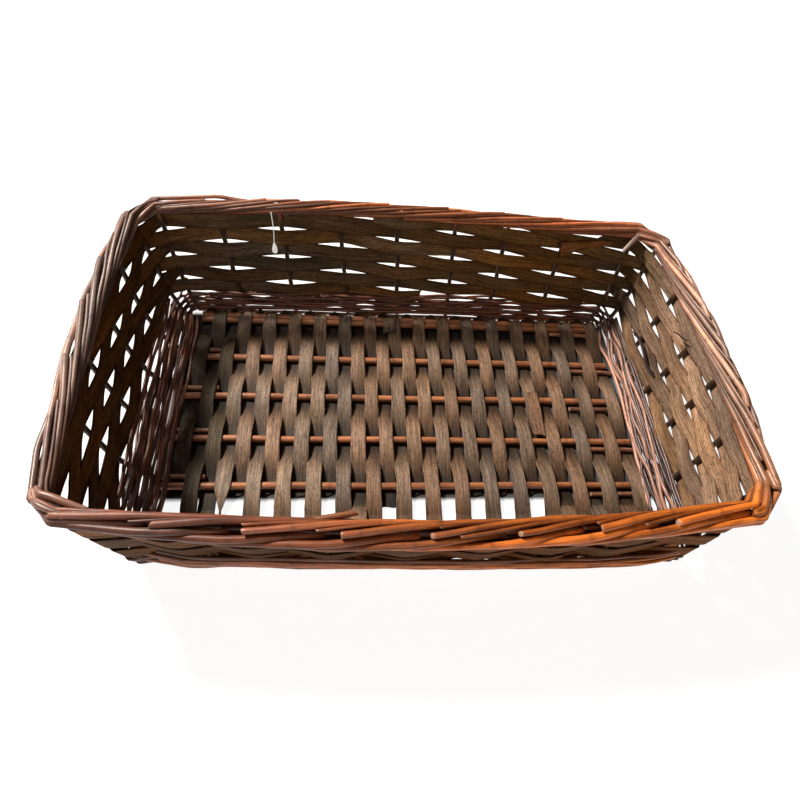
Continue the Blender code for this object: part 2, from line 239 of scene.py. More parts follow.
# ------------------------------------------------------------------ mesh pieces
def around(p):
    """How far round the basket points lie, counted in stakes."""
    a = (-np.arctan2(p[..., 1] / 122.0, p[..., 0] / 211.0) - ANGLES[0]) % (2 * math.pi)
    return np.interp(a, RELATIVE, range(COUNT + 1))


ANGLES = [-math.atan2(rim[1] / 122.0, rim[0] / 211.0) for _, _, _, rim in STAKES]
RELATIVE = [(a - ANGLES[0]) % (2 * math.pi) for a in ANGLES] + [2 * math.pi]


def place_tint(table, p):
    s = around(p)
    keys = [row[0] for row in table]
    return np.stack([np.interp(s, keys, [row[1][c] for row in table]) for c in range(3)], -1)


class Build:
    """Collects the rods and strips of one piece and makes one mesh of them."""

    def __init__(self):
        self.verts, self.faces, self.co, self.tint, self.cut = [], [], [], [], []
        self.count = 0

    def add(self, verts, faces, co, tint, cut):
        self.verts.append(verts)
        self.faces += [tuple(int(q) + self.count for q in f) for f in faces]
        self.co.append(co)
        self.tint.append(tint)
        self.cut.append(cut)
        self.count += len(verts)

    def tube(self, points, radius, tint, seed, sides=14, step=1.8, ends=(0.0, 0.0), swell=0.10, raw=False,
             dome=(0.35, 0.35)):
        """A rod along points. ends are how much each end's cut slants; swell is the size of the bud scars."""
        line, at = (np.array(points, float), None) if raw else smooth(points, step)
        if at is None:
            at = np.concatenate([[0], np.cumsum(np.linalg.norm(np.diff(line, axis=0), axis=1))])
        n = len(line)
        r = np.interp(np.linspace(0, 1, n), np.linspace(0, 1, np.size(radius)), np.atleast_1d(radius))
        r = r * (1 + 0.035 * noise1(at, seed + 1, 23.0) + 0.02 * noise1(at, seed + 2, 7.0))
        rng = np.random.default_rng(seed)
        node_at, s = [], rng.uniform(8, 40)
        while s < at[-1] - 4:
            node_at.append((s, rng.uniform(0, 2 * math.pi)))
            s += rng.uniform(26, 58)
        hue = np.broadcast_to(tint(line, at) if callable(tint) else tint, (n, 3))
        hue = hue * (1 + 0.10 * noise1(at, seed + 11, 37.0) + 0.06 * noise1(at, seed + 12, 11.0))[:, None]
        for where, _ in node_at:
            d = np.abs(at - where - 1.5) / 1.6
            hue = hue * (1 - 0.35 * np.exp(-d * d))[:, None]
        t = tangents(line)
        ref = V(0, 0, 1) if abs(t[0][2]) < 0.9 else V(1, 0, 0)
        u = unit(np.cross(t[0], ref))
        frames = []
        for k in range(n):
            u = u - t[k] * u.dot(t[k])
            u = unit(u)
            frames.append((u, np.cross(t[k], u)))
        theta = np.linspace(0, 2 * math.pi, sides, endpoint=False)
        verts, co, cut = [], [], []
        phase = rng.uniform(0, 2 * math.pi)
        for k in range(n):
            ring = r[k] * (1 + 0.03 * np.cos(2 * (theta + phase + 0.4 * noise1(at[k], seed + 3, 60.0))))
            for where, angle in node_at:
                d = (at[k] - where) / 2.2
                if abs(d) < 2.5:
                    ring = ring + r[k] * swell * math.exp(-d * d) * (0.35 + 0.65 * np.maximum(0, np.cos(theta - angle)) ** 2)
            a, b = frames[k]
            verts.append(line[k] + np.outer(ring * np.cos(theta), a) + np.outer(ring * np.sin(theta), b))
            co.append(np.stack([r[k] * np.cos(theta), r[k] * np.sin(theta), np.full(sides, at[k])], 1))
            cut.append(np.zeros(sides))
        rings = len(verts)
        faces = []
        for k in range(rings - 1):
            for j in range(sides):
                j2 = (j + 1) % sides
                faces.append((k * sides + j, k * sides + j2, (k + 1) * sides + j2, (k + 1) * sides + j))
        index = rings * sides
        for end, sign in ((0, -1.0), (rings - 1, 1.0)):
            which = 0 if end == 0 else 1
            a, b = frames[end]
            out = t[end] * sign
            slant = ends[which]
            base = verts[end]
            lean = np.cos(theta) * slant * r[end]
            if slant:
                shift = np.outer(lean, out)
                verts[end] = base + shift
                base = verts[end]
            height = dome[which] * 1.0
            last = end * sides
            for scale, lift in ((0.90, 0.75 * height), (0.45, height)):
                ring = line[end] + (base - line[end]) * scale + out * lift
                verts.append(ring)
                co.append(np.stack([r[end] * scale * np.cos(theta), r[end] * scale * np.sin(theta), np.full(sides, at[end])], 1))
                cut.append(np.full(sides, 1.0))
                for j in range(sides):
                    j2 = (j + 1) % sides
                    quad = (last + j, last + j2, index + j2, index + j)
                    faces.append(quad if sign > 0 else quad[::-1])
                last = index
                index += sides
            verts.append((line[end] + out * height)[None])
            co.append(V(0, 0, at[end])[None])
            cut.append(np.ones(1))
            for j in range(sides):
                tri = (last + j, last + (j + 1) % sides, index)
                faces.append(tri if sign > 0 else tri[::-1])
            index += 1
        co = np.vstack(co) + V(0, 0, (seed * 37) % 5003)
        cap = 2 * sides + 1
        hue = np.vstack([np.repeat(hue, sides, 0), np.repeat(hue[:1], cap, 0), np.repeat(hue[-1:], cap, 0)])
        self.add(np.vstack(verts), faces, co, hue, np.concatenate(cut))

    def strip(self, line, wide, low, high, tint, seed, thick=0.9, cup=0.0, ends=(0.0, 0.0), jag=(0.35, 0.35), start=0.0,
              joins=(False, False)):
        """A strip along line: wide is its width direction, low and high how far it reaches each way.
        ends are how far the cut runs on from the low edge to the high edge. start and joins let it go on from another."""
        line = np.array(line, float)
        n = len(line)
        run = np.concatenate([[0], np.cumsum(np.linalg.norm(np.diff(line, axis=0), axis=1))])
        at = run + start
        t = tangents(line)
        wide = np.broadcast_to(wide, (n, 3)).astype(float)
        wide = wide - t * (wide * t).sum(1, keepdims=True)
        wide = wide / np.linalg.norm(wide, axis=1, keepdims=True)
        normal = np.cross(wide, t)
        low = np.broadcast_to(low, n) * (1 + 0.025 * noise1(at, seed + 5, 31.0)) + 0.12 * noise1(at, seed + 6, 4.0)
        high = np.broadcast_to(high, n) * (1 + 0.025 * noise1(at, seed + 7, 29.0)) + 0.12 * noise1(at, seed + 8, 4.0)
        thick = thick * (1 + 0.10 * noise1(at, seed + 9, 40.0))
        across = V(-1, -0.94, -0.86, -0.5, 0, 0.5, 0.86, 0.94, 1)
        flat = V(0.25, 1, 1, 1, 1, 1, 1, 1, 0.25)
        m = len(across)
        rng = np.random.default_rng(seed)
        rag = [rng.uniform(-1, 1, m) * jag[e] * (not joins[e]) for e in (0, 1)]
        verts, co = [], []
        for k in range(n):
            c = np.where(across < 0, across * low[k], across * high[k])
            lift = cup * (1 - across**2) + 0.10 * noise1(across * 3 + at[k] / 9.0, seed + 10, 1.0)
            slide = np.zeros(m)
            for e, sign in ((0, -1.0), (1, 1.0)):
                far = run[k] if e == 0 else run[-1] - run[k]
                reach = 3.0 + abs(ends[e])
                if far < reach:
                    fade = (1 - far / reach)
                    slide = slide + sign * fade * (ends[e] * (across + 1) / 2 + rag[e])
            for face in (1.0, -1.0):
                cc, ff, ll, ss = (c, flat, lift, slide) if face > 0 else (c[::-1], flat[::-1], lift[::-1], slide[::-1])
                z = ll + face * thick[k] / 2 * ff
                verts.append(line[k] + np.outer(cc, wide[k]) + np.outer(z, normal[k]) + np.outer(ss, t[k]))
                co.append(np.stack([cc, z, at[k] + ss], 1))
        ring = 2 * m
        faces = []
        for k in range(n - 1):
            for j in range(ring):
                j2 = (j + 1) % ring
                faces.append((k * ring + j, (k + 1) * ring + j, (k + 1) * ring + j2, k * ring + j2))
        for j in range(m - 1):
            faces.append((j, j + 1, ring - 2 - j, ring - 1 - j))
            o = (n - 1) * ring
            faces.append((o + ring - 1 - j, o + ring - 2 - j, o + j + 1, o + j))
        verts, co = np.vstack(verts), np.vstack(co)
        cut = np.clip((np.abs(np.tile(np.concatenate([across, across[::-1]]), n)) - 0.80) / 0.20, 0, 1)
        if not joins[0]:
            cut[:ring] = 1.0
        if not joins[1]:
            cut[-ring:] = 1.0
        hue = np.broadcast_to(tint(line, at) if callable(tint) else tint, (n, 3))
        hue = hue * (1 + 0.09 * noise1(at, seed + 13, 43.0) + 0.05 * noise1(at, seed + 14, 13.0))[:, None]
        self.add(verts, faces, co + V(0, 0, (seed * 37) % 5003), np.repeat(hue, ring, 0), cut)
        return at[-1]

    def make(self, name, material, body, nodes, slot):
        verts = (np.vstack(self.verts) + SHIFT) * MM
        mesh = bpy.data.meshes.new(name)
        mesh.from_pydata(verts.tolist(), [], self.faces)
        mesh.validate()
        data = (("woodco", "FLOAT_VECTOR", np.vstack(self.co) * MM, 3),
                ("tint", "FLOAT_VECTOR", np.vstack(self.tint), 3),
                ("cut", "FLOAT", np.concatenate(self.cut), 1))
        for label, kind, values, width in data:
            attribute = mesh.attributes.new(label, kind, "POINT")
            attribute.data.foreach_set("vector" if width == 3 else "value", values.astype(np.float32).ravel())
        mesh.polygons.foreach_set("use_smooth", [True] * len(mesh.polygons))
        mesh.update()
        obj = bpy.data.objects.new(name, mesh)
        bpy.context.scene.collection.objects.link(obj)
        mesh.materials.append(material)
        mesh.set_sharp_from_angle(angle=math.radians(52))
        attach(obj, body)
        if nodes:
            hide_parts(*nodes)
        return obj


# ------------------------------------------------------------------ materials
def nodes_of(name):
    mat = bpy.data.materials.new(name)
    mat.use_nodes = True
    tree = mat.node_tree
    shader = tree.nodes["Principled BSDF"]
    return mat, tree, shader


def node(tree, kind, **values):
    n = tree.nodes.new(kind)
    for key, value in values.items():
        if key in n.inputs.keys():
            n.inputs[key].default_value = value
        else:
            setattr(n, key, value)
    return n


def attribute(tree, name):
    n = node(tree, "ShaderNodeAttribute", attribute_type="GEOMETRY")
    n.attribute_name = name
    return n


def noise(tree, vector, scale, detail=3.0, rough=0.5, stretch=(1, 1, 1), distortion=0.0):
    mapping = node(tree, "ShaderNodeMapping")
    mapping.inputs["Scale"].default_value = stretch
    tree.links.new(vector, mapping.inputs["Vector"])
    n = node(tree, "ShaderNodeTexNoise", Scale=scale, Detail=detail, Roughness=rough, Distortion=distortion)
    tree.links.new(mapping.outputs["Vector"], n.inputs["Vector"])
    return n.outputs["Fac"]


def ramp(tree, fac, stops):
    n = node(tree, "ShaderNodeValToRGB")
    elements = n.color_ramp.elements
    while len(elements) < len(stops):
        elements.new(0.5)
    for element, (at, colour) in zip(elements, stops):
        element.position = at
        element.color = (*colour, 1.0) if len(colour) == 3 else colour
    tree.links.new(fac, n.inputs["Fac"])
    return n.outputs["Color"]


def mix(tree, blend, fac, a, b):
    n = node(tree, "ShaderNodeMix", data_type="RGBA", blend_type=blend)
    for value, slot_index in ((fac, 0), (a, 6), (b, 7)):
        if isinstance(value, bpy.types.NodeSocket):
            tree.links.new(value, n.inputs[slot_index])
        elif slot_index == 0:
            n.inputs[0].default_value = value
        else:
            n.inputs[slot_index].default_value = (*value, 1.0)
    return n.outputs[2]


def maths(tree, op, a, b=0.0, clamp=False):
    n = node(tree, "ShaderNodeMath", operation=op)
    n.use_clamp = clamp
    for index, value in ((0, a), (1, b)):
        if isinstance(value, bpy.types.NodeSocket):
            tree.links.new(value, n.inputs[index])
        else:
            n.inputs[index].default_value = value
    return n.outputs[0]


def g(v):
    return (v, v, v)


def rod_material(name, rough, gloss):
    """Stained willow bark: lengthwise streaks, darker blotches, fine pores and pale cut ends."""
    mat, tree, shader = nodes_of(name)
    co = attribute(tree, "woodco").outputs["Vector"]
    tint = attribute(tree, "tint").outputs["Color"]
    cut = attribute(tree, "cut").outputs["Fac"]
    streak = noise(tree, co, 900.0, 3.0, 0.6, (1, 1, 0.055))
    fine = noise(tree, co, 2600.0, 2.0, 0.5, (1, 1, 0.10))
    patch = noise(tree, co, 120.0, 3.0, 0.55, (1, 1, 0.30))
    pore = noise(tree, co, 1500.0, 1.0, 0.5, (1, 1, 0.5))
    colour = mix(tree, "MULTIPLY", 1.0, tint, ramp(tree, streak, [(0.28, g(0.50)), (0.5, g(0.98)), (0.74, g(1.42))]))
    colour = mix(tree, "MULTIPLY", 0.8, colour, ramp(tree, patch, [(0.30, (0.52, 0.46, 0.44)), (0.48, g(1.0)), (0.72, (1.22, 1.16, 1.05))]))
    colour = mix(tree, "MULTIPLY", 0.5, colour, ramp(tree, fine, [(0.3, g(0.75)), (0.6, g(1.1))]))
    colour = mix(tree, "MULTIPLY", 0.55, colour, ramp(tree, pore, [(0.28, g(0.45)), (0.36, g(1.0))]))
    wood = ramp(tree, noise(tree, co, 1900.0, 2.0, 0.5, (1, 1, 1)), [(0.3, (0.20, 0.11, 0.06)), (0.65, (0.50, 0.33, 0.21))])
    colour = mix(tree, "MIX", maths(tree, "MULTIPLY", cut, 0.85), colour, wood)
    tree.links.new(colour, shader.inputs["Base Color"])
    shine = ramp(tree, streak, [(0.2, g(rough + 0.14)), (0.8, g(rough - 0.05))])
    tree.links.new(shine, shader.inputs["Roughness"])
    shader.inputs["Specular IOR Level"].default_value = gloss
    height = maths(tree, "ADD", maths(tree, "MULTIPLY", streak, 0.7), maths(tree, "MULTIPLY", fine, 0.3))
    height = maths(tree, "ADD", height, maths(tree, "MULTIPLY", pore, 0.35))
    bump = node(tree, "ShaderNodeBump", Strength=0.55, Distance=0.00022)
    tree.links.new(height, bump.inputs["Height"])
    tree.links.new(bump.outputs["Normal"], shader.inputs["Normal"])
    return mat


def strip_material(name, rough, gloss, edge_dark):
    """Split wood: long fibres, short dark pores, stain that took unevenly, darker edges: raw edges, and on the side
    strips also painted shade where the bands overlap.
    """
    mat, tree, shader = nodes_of(name)
    co = attribute(tree, "woodco").outputs["Vector"]
    tint = attribute(tree, "tint").outputs["Color"]
    cut = attribute(tree, "cut").outputs["Fac"]
    fibre = noise(tree, co, 1500.0, 4.0, 0.65, (1, 0.6, 0.035))
    broad = noise(tree, co, 420.0, 3.0, 0.55, (1, 0.6, 0.05), 0.2)
    pore = noise(tree, co, 1700.0, 1.5, 0.5, (1, 0.5, 0.20))
    patch = noise(tree, co, 60.0, 3.0, 0.6, (1, 0.5, 0.45))
    colour = mix(tree, "MULTIPLY", 1.0, tint, ramp(tree, fibre, [(0.30, g(0.36)), (0.5, g(0.99)), (0.70, g(1.68))]))
    colour = mix(tree, "MULTIPLY", 0.85, colour, ramp(tree, broad, [(0.30, g(0.66)), (0.5, g(1.0)), (0.72, (1.20, 1.17, 1.12))]))
    colour = mix(tree, "MULTIPLY", 0.9, colour, ramp(tree, pore, [(0.32, g(0.26)), (0.42, g(1.0)), (0.60, g(1.0)), (0.70, g(1.40))]))
    colour = mix(tree, "MULTIPLY", 0.8, colour, ramp(tree, patch, [(0.30, (0.60, 0.58, 0.52)), (0.5, g(1.0)), (0.74, (1.20, 1.12, 1.06))]))
    # darker edges: partly raw edges, partly painted shade where the bands overlap
    colour = mix(tree, "MULTIPLY", maths(tree, "MULTIPLY", cut, edge_dark), colour, (0.30, 0.22, 0.18))
    tree.links.new(colour, shader.inputs["Base Color"])
    shine = ramp(tree, fibre, [(0.2, g(rough + 0.12)), (0.8, g(rough - 0.06))])
    tree.links.new(shine, shader.inputs["Roughness"])
    shader.inputs["Specular IOR Level"].default_value = gloss
    height = maths(tree, "ADD", maths(tree, "MULTIPLY", fibre, 0.7), maths(tree, "MULTIPLY", broad, 0.6))
    height = maths(tree, "ADD", height, maths(tree, "MULTIPLY", pore, 0.6))
    bump = node(tree, "ShaderNodeBump", Strength=0.6, Distance=0.00028)
    tree.links.new(height, bump.inputs["Height"])
    tree.links.new(bump.outputs["Normal"], shader.inputs["Normal"])
    return mat


ROD = rod_material("willow_rod", 0.36, 0.62)
ROD_NEAR = rod_material("willow_rod_near", 0.41, 0.40)
WALE = rod_material("willow_thin_rod", 0.36, 0.60)
STRIP = strip_material("split_wood_floor", 0.58, 0.28, 0.60)
# the side strips' strong edge darkening is mostly painted shade lines between the overlapping bands
SIDE = strip_material("split_wood_side", 0.66, 0.05, 0.92)


def blend_colour(a, b, f):
    return V(*a) * (1 - f) + V(*b) * f


# ------------------------------------------------------------------ stakes and their border strands
RIM_TINTS = (
    (0, (0.58, 0.150, 0.019)), (3, (0.50, 0.124, 0.019)), (5, (0.28, 0.072, 0.020)), (6.5, (0.185, 0.054, 0.024)),
    (8, (0.175, 0.064, 0.040)), (11, (0.30, 0.190, 0.150)), (14, (0.20, 0.112, 0.082)), (15.5, (0.25, 0.100, 0.058)),
    (19, (0.41, 0.126, 0.044)), (22, (0.33, 0.100, 0.038)), (23.2, (0.29, 0.105, 0.056)), (24.3, (0.29, 0.145, 0.096)), (27, (0.34, 0.180, 0.115)),
    (29, (0.40, 0.155, 0.066)), (30, (0.58, 0.150, 0.019)),
)
# a stake's length inside the wall is painted this dark brown: painted shade where it shows in the gaps between the
# bands
WALL_STAKE_PAINTED_SHADE = V(0.050, 0.026, 0.015)
TAIL_TINT = V(0.27, 0.115, 0.065)


def rod_tint(factor, hue_shift):
    def of(line, at):
        base = place_tint(RIM_TINTS, line) * factor * hue_shift
        # below the rim the stake is painted dark: painted shade in the wall
        up_ = np.clip((line[:, 2] - (RIM_Z - 13.0)) / 8.0, 0, 1)[:, None]
        low = np.clip((8.0 - line[:, 2]) / 3.0, 0, 1)[:, None]
        return (base * up_ + WALL_STAKE_PAINTED_SHADE * (1 - up_)) * (1 - low) + TAIL_TINT * factor * low
    return of


# how full the roll is at each stake, and how far out and up its middle sits there
FULLNESS = (0.86, 1.0, 1.06, 1.08, 1.10, 1.06, 0.98, 0.84, 0.60, 0.70, 0.84, 0.92, 0.99, 0.96, 0.84, 0.74,
            0.80, 0.84, 0.84, 0.84, 0.82, 0.80, 0.78, 0.80, 0.92, 1.06, 1.12, 1.12, 1.06, 0.90)
RAISE = ((0, 0), (0, 0), (0, 0), (0, 0), (0, 0), (0, 0), (0, 0), (0, 0), (0, 0.4), (0.5, 0), (-0.6, 0), (0.7, 0), (2.0, 0.2),
         (1.8, 0.2), (0.3, 0.6), (0.4, 1.0), (0.6, 1.0), (1.2, 2.3), (1.5, 2.7), (1.6, 2.3), (1.5, 1.7), (1.3, 0.9),
         (1.3, 0.1), (2.6, 0.6), (2.0, 0.6), (1.3, 0), (1.2, 0), (1.2, 0), (0.9, 0), (0, 0))


def bundle_scale(i):
    return FULLNESS[i % COUNT]


def bundle_drop(i):
    return RAISE[i % COUNT]


def strand_place(i, m, out_more=0.0, up_more=0.0):
    out = float(np.interp(m, BORDER[:, 0], BORDER[:, 1]))
    up_ = float(np.interp(m, BORDER[:, 0], BORDER[:, 2]))
    low = int(math.floor(m + 1e-9))
    f = m - low
    ends = []
    for j in (i + low, i + low + 1):
        (in_, down), size = bundle_drop(j), bundle_scale(j)
        ends.append(border_place(j, out * size + out_more + in_, up_ * size + up_more + down))
    return ends[0] * (1 - f) + ends[1] * f


def bump_at(centre, before, after, out, up_):
    def of(m):
        w = max(0.0, 1 - abs(m - centre) / (before if m < centre else after))
        return out * w, up_ * w
    return of


# strands that lie loose: stake number to how far out and up they stand, by stakes passed
SPECIAL = {
    14: bump_at(2.05, 1.35, 1.7, 2.6, 6.2),
    9: bump_at(2.35, 1.3, 1.4, 4.0, 1.6),
    8: bump_at(1.55, 0.6, 0.7, 2.8, 1.2),
    26: bump_at(1.6, 0.6, 0.6, 1.4, 0.8),
}


def stake_points(i):
    wall, number, foot, rim = STAKES[i]
    lean = stake_dir(i)
    rng = np.random.default_rng(900 + i)
    pts = []
    inward = {"left": 1.0, "right": -1.0}.get(wall)
    tail_y = foot[1]
    middle = wall in ("left", "right") and 1 < number < 6
    if (wall, number) in (("right", 1), ("left", 1)):
        tail_y = math.copysign(EDGE_Y[0] - STICK_R - 0.3 - 2.1 - 1.0, foot[1])
    if middle or tail_y != foot[1]:
        reach = 54.0 if wall == "right" else 38.0
        x = foot[0]
        pts = [
            V(x + inward * reach, tail_y + rng.uniform(-0.5, 0.5), STICK_Z),
            V(x + inward * (reach * 0.55), tail_y, STICK_Z),
            V(x + inward * (12.0 if middle else 8.0), tail_y, STICK_Z - 0.1),
            V(x + inward * (7.0 if middle else 5.0), tail_y + (foot[1] - tail_y) * 0.45, STICK_Z - 0.8),
            V(x + inward * 2.0, foot[1], 2.6),
            stake_at(i, 5.6),
        ]
    else:
        pts = [stake_at(i, 1.2), stake_at(i, 8.0)]
    for z in (13.0, 22.0, 40.0, 58.0, 76.0, 90.0):
        normal, _ = outward(i, z)
        along, _ = edge(i, z)
        pts.append(stake_at(i, z) + normal * rng.uniform(-0.25, 0.25) + along * rng.uniform(-0.5, 0.5))
    along, _ = edge(i)
    pts.append(stake_at(i, RIM_Z - 7.0))
    pts.append(stake_at(i, RIM_Z - 2.6) + along * 0.5)
    out_shift, up_shift = rng.uniform(-0.35, 0.35, 2)
    places = [m for m in np.arange(0.12, 6.7, 0.24)]
    for c in range(1, 8):
        if outward(i + c)[1] > 1.02:
            places = [m for m in places if abs(m - c) > 0.10] + [c - 0.09, float(c), c + 0.09]
    for m in sorted(places):
        fade = min(1.0, m / 0.5)
        out = fade * (0.5 * float(noise1(m, 5000 + i, 0.9)) + out_shift)
        up_ = fade * (0.45 * float(noise1(m, 6000 + i, 0.8)) + up_shift)
        more_out, more_up = SPECIAL.get(i, lambda q: (0.0, 0.0))(m)
        pts.append(strand_place(i, m, out + more_out, up_ + more_up))
    step = np.linalg.norm(STAKES[(i + 7) % COUNT][3] - STAKES[(i + 6) % COUNT][3])
    end = 7.0 - max(0.13 + rng.uniform(0, 0.06), 3.2 / step)
    pts = [p for p in pts if p is not None]
    tuck = 1.0 if 16 <= i <= 22 else 0.0      # on the right wall the ends lie tucked in
    pts.append(strand_place(i, end, out_shift - 1.1 * tuck, up_shift + 0.3 - 1.9 * tuck))
    return pts


def companion(i, build, tint):
    """A thinner top lies in the furrow beside each main one."""
    rng = np.random.default_rng(5200 + i)
    pts = []
    start, stop = 0.95 + rng.uniform(0, 0.3), 6.35 + rng.uniform(-0.5, 0.4)
    for m in np.arange(start, stop, 0.24):
        out = 0.35 * float(noise1(m, 5300 + i, 0.9))
        up_ = 0.35 * float(noise1(m, 5400 + i, 0.8))
        q = m + 0.48
        low = int(math.floor(m + 1e-9))
        f = m - low
        o = float(np.interp(q, BORDER[:, 0], BORDER[:, 1])) * 1.03
        u = float(np.interp(q, BORDER[:, 0], BORDER[:, 2])) * 1.03
        ends = []
        for j in (i + low, i + low + 1):
            (more, lift), size = bundle_drop(j), bundle_scale(j)
            ends.append(border_place(j, o * size + out + more, u * size + up_ + lift))
        pts.append(ends[0] * (1 - f) + ends[1] * f)
    s = i + (start + stop) / 2
    r = rng.uniform(1.15, 1.55) * (0.86 if 12 < i < 24 else 1.0)
    build.tube(pts, (r * 0.8, r, r, r * 0.7), tint, 5500 + i * 7, sides=10, step=2.2, ends=(0.4, 0.6), swell=0.06)


SLIM = (0.98, 1.0, 1.0, 1.0, 1.0, 1.0, 0.98, 0.94, 0.80, 0.82, 0.86, 0.88, 0.88, 0.88, 0.84, 0.76,
        0.74, 0.74, 0.74, 0.74, 0.74, 0.76, 0.78, 0.80, 0.84, 0.88, 0.88, 0.88, 0.90, 0.94, 0.98)


def stakes():
    for i in range(COUNT):
        wall, number, foot, rim = STAKES[i]
        rng = np.random.default_rng(100 + i)
        build = Build()
        thick = rng.uniform(1.95, 2.5)
        pts = stake_points(i)
        line, at = smooth(pts, 1.8)
        high = np.clip((line[:, 2] - 92.0) / 10.0, 0, 1)
        slim = np.interp(around(line), range(COUNT + 1), SLIM) * np.interp(around(line), (14, 16, 22, 24), (1, 0.93, 0.93, 1))
        radius = 2.0 * (1 - high) + thick * slim * high * (1 - 0.08 * at / at[-1])
        shift = 1 + rng.uniform(-0.10, 0.10) * V(0.5, -0.3, -1.2)
        factor = rng.uniform(0.50, 1.46)
        tint = rod_tint(1.25 * factor ** 1.5 if 12 <= i <= 21 else factor, shift)
        build.tube(line, radius, tint, 100 + i * 13, raw=True,
                   sides=14, ends=(0.0, rng.uniform(-0.5, 0.5)), dome=(0.3, 0.7), swell=0.07)
        companion(i, build, rod_tint(rng.uniform(0.30, 0.95), shift))
        # the heart of the roll, where the next tops are packed together; it is painted very dark: painted shade in the
        # furrows between the strands
        size = bundle_scale(i)
        for q, (out, up_) in enumerate(((-0.9, 0.4), (1.7, -2.6))):
            heart = []
            for f in (0.10, 0.4, 0.7, 1.0):
                a, b = bundle_drop(i), bundle_drop(i + 1)
                heart.append(border_place(i, out * size + a[0], up_ * size + a[1]) * (1 - f)
                             + border_place(i + 1, out * size + b[0], up_ * size + b[1]) * f)
            build.tube(heart, (1.8 * size,), rod_tint(0.16, shift), 60 + i * 17 + q, sides=10, step=3.0, swell=0.05)
        extras(i, build)
        build.make(f"willow_stake_{wall}_{number}", ROD_NEAR if i <= 6 else ROD, "basket", [f"stake_{wall}_{number}"], "stake_willow")


def extras(i, build):
    """Broken ends and loose bits that belong to one stake."""
    if i == 23:      # a grey pink end bent out of the far right corner
        build.tube([V(190.0, 115.0, 98.5), V(193.5, 117.5, 101.5), V(198.5, 121.5, 105.0), V(205.0, 126.0, 108.5), V(212.0, 129.0, 110.2)],
                   (1.6, 1.9, 2.0, 1.7), V(0.30, 0.205, 0.165), 7701, ends=(0.8, 0.4), swell=0.05)
    if i == 5:       # a stub left standing on the inner side of the near rim
        build.tube([V(-78.0, -135.5, 107.8), V(-66.0, -134.2, 108.9), V(-55.0, -132.6, 109.6), V(-45.5, -131.0, 110.0)],
                   (1.6, 1.9, 1.9, 1.7), V(0.19, 0.064, 0.020), 7702, ends=(0.5, 1.1), swell=0.08)
    if i == 8:       # short ends pushed into the near left corner
        build.tube([V(-219.0, -115.5, 110.6), V(-216.0, -119.5, 112.3), V(-209.5, -121.8, 112.6), V(-199.0, -125.6, 111.4),
                    V(-190.0, -128.2, 110.2)], (1.6, 2.1, 2.2, 1.9, 1.4), V(0.23, 0.100, 0.062), 7703, ends=(0.6, 0.4), swell=0.10)
        build.tube([V(-220.5, -121.0, 109.6), V(-216.0, -125.5, 111.4), V(-209.0, -129.0, 111.6), V(-200.0, -131.5, 110.4)],
                   (1.4, 1.8, 1.8, 1.4), V(0.20, 0.095, 0.062), 7704, ends=(0.5, 0.5), swell=0.10)


stakes()

# ------------------------------------------------------------------ floor sticks
FLOOR_ROD = (0.36, 0.135, 0.055)


def floor_rods():
    for n, y in enumerate(STICK_Y, 1):
        build = Build()
        rng = np.random.default_rng(300 + n)
        pts = [V(x, y + rng.uniform(-0.35, 0.35), STICK_Z + rng.uniform(-0.15, 0.15)) for x in np.linspace(-188.6, 199.0, 9)]
        build.tube(pts, (STICK_R, STICK_R * 0.97), V(*FLOOR_ROD) * rng.uniform(0.9, 1.1), 310 + n * 7, sides=16, swell=0.05)
        build.make(f"floor_willow_stick_{n}", ROD, "basket", [f"floor_stick_{n}"], "floor_willow")
    for side, sign in (("front", -1), ("back", 1)):
        for which, y in zip(("inner", "outer"), EDGE_Y):
            build = Build()
            seed = 340 + (sign + 1) * 9 + (which == "inner") * 5
            rng = np.random.default_rng(seed)
            pts = [V(x, sign * y + rng.uniform(-0.25, 0.25), STICK_Z + rng.uniform(-0.1, 0.1)) for x in np.linspace(-182, 192, 9)]
            build.tube(pts, (STICK_R, STICK_R * 0.97), V(*FLOOR_ROD) * rng.uniform(0.9, 1.1), seed, sides=16, swell=0.05)
            build.make(f"floor_willow_edge_{side}_{which}", ROD, "basket", [f"floor_edge_rod_{side}_{which}"], "floor_willow")


floor_rods()

# ------------------------------------------------------------------ floor weave
LENGTHS = (
    (0, 1), (2, 3), (4, 5), (6, 7), (8, 9), (10, 11, 12, 13), (14, 15),
    (16, 17), (18, 19), (20, 21), (22, 23), (24, 25, 26, 27, 28, 29, 30, 31),
)
WOODS = {
    "grey": V(0.205, 0.140, 0.096), "brown": V(0.230, 0.125, 0.070), "tan": V(0.265, 0.172, 0.108),
    "slate": V(0.145, 0.108, 0.084), "olive": V(0.115, 0.074, 0.034), "red": V(0.215, 0.116, 0.062),
}
# the three leftmost runs take the dark olive: painted shade from the left wall
FLOOR_WOODS = (
    "olive", "olive", "olive", "grey", "brown", "grey", "brown", "tan", "grey", "tan", "slate", "slate", "brown", "brown",
    "red", "tan", "brown", "brown", "tan", "brown", "grey", "slate", "brown", "slate", "grey", "tan", "brown", "brown",
    "slate", "grey", "brown", "tan",
)


def strip_x(k):
    x = (k - 15.5) * 11.75
    return x + 2.4 + (3.1 * (x / 182.1) ** 2 if x < 0 else 8.6 * (x / 182.1) ** 2.5)


RUNS = [strip_x(k) for k in range(32)]


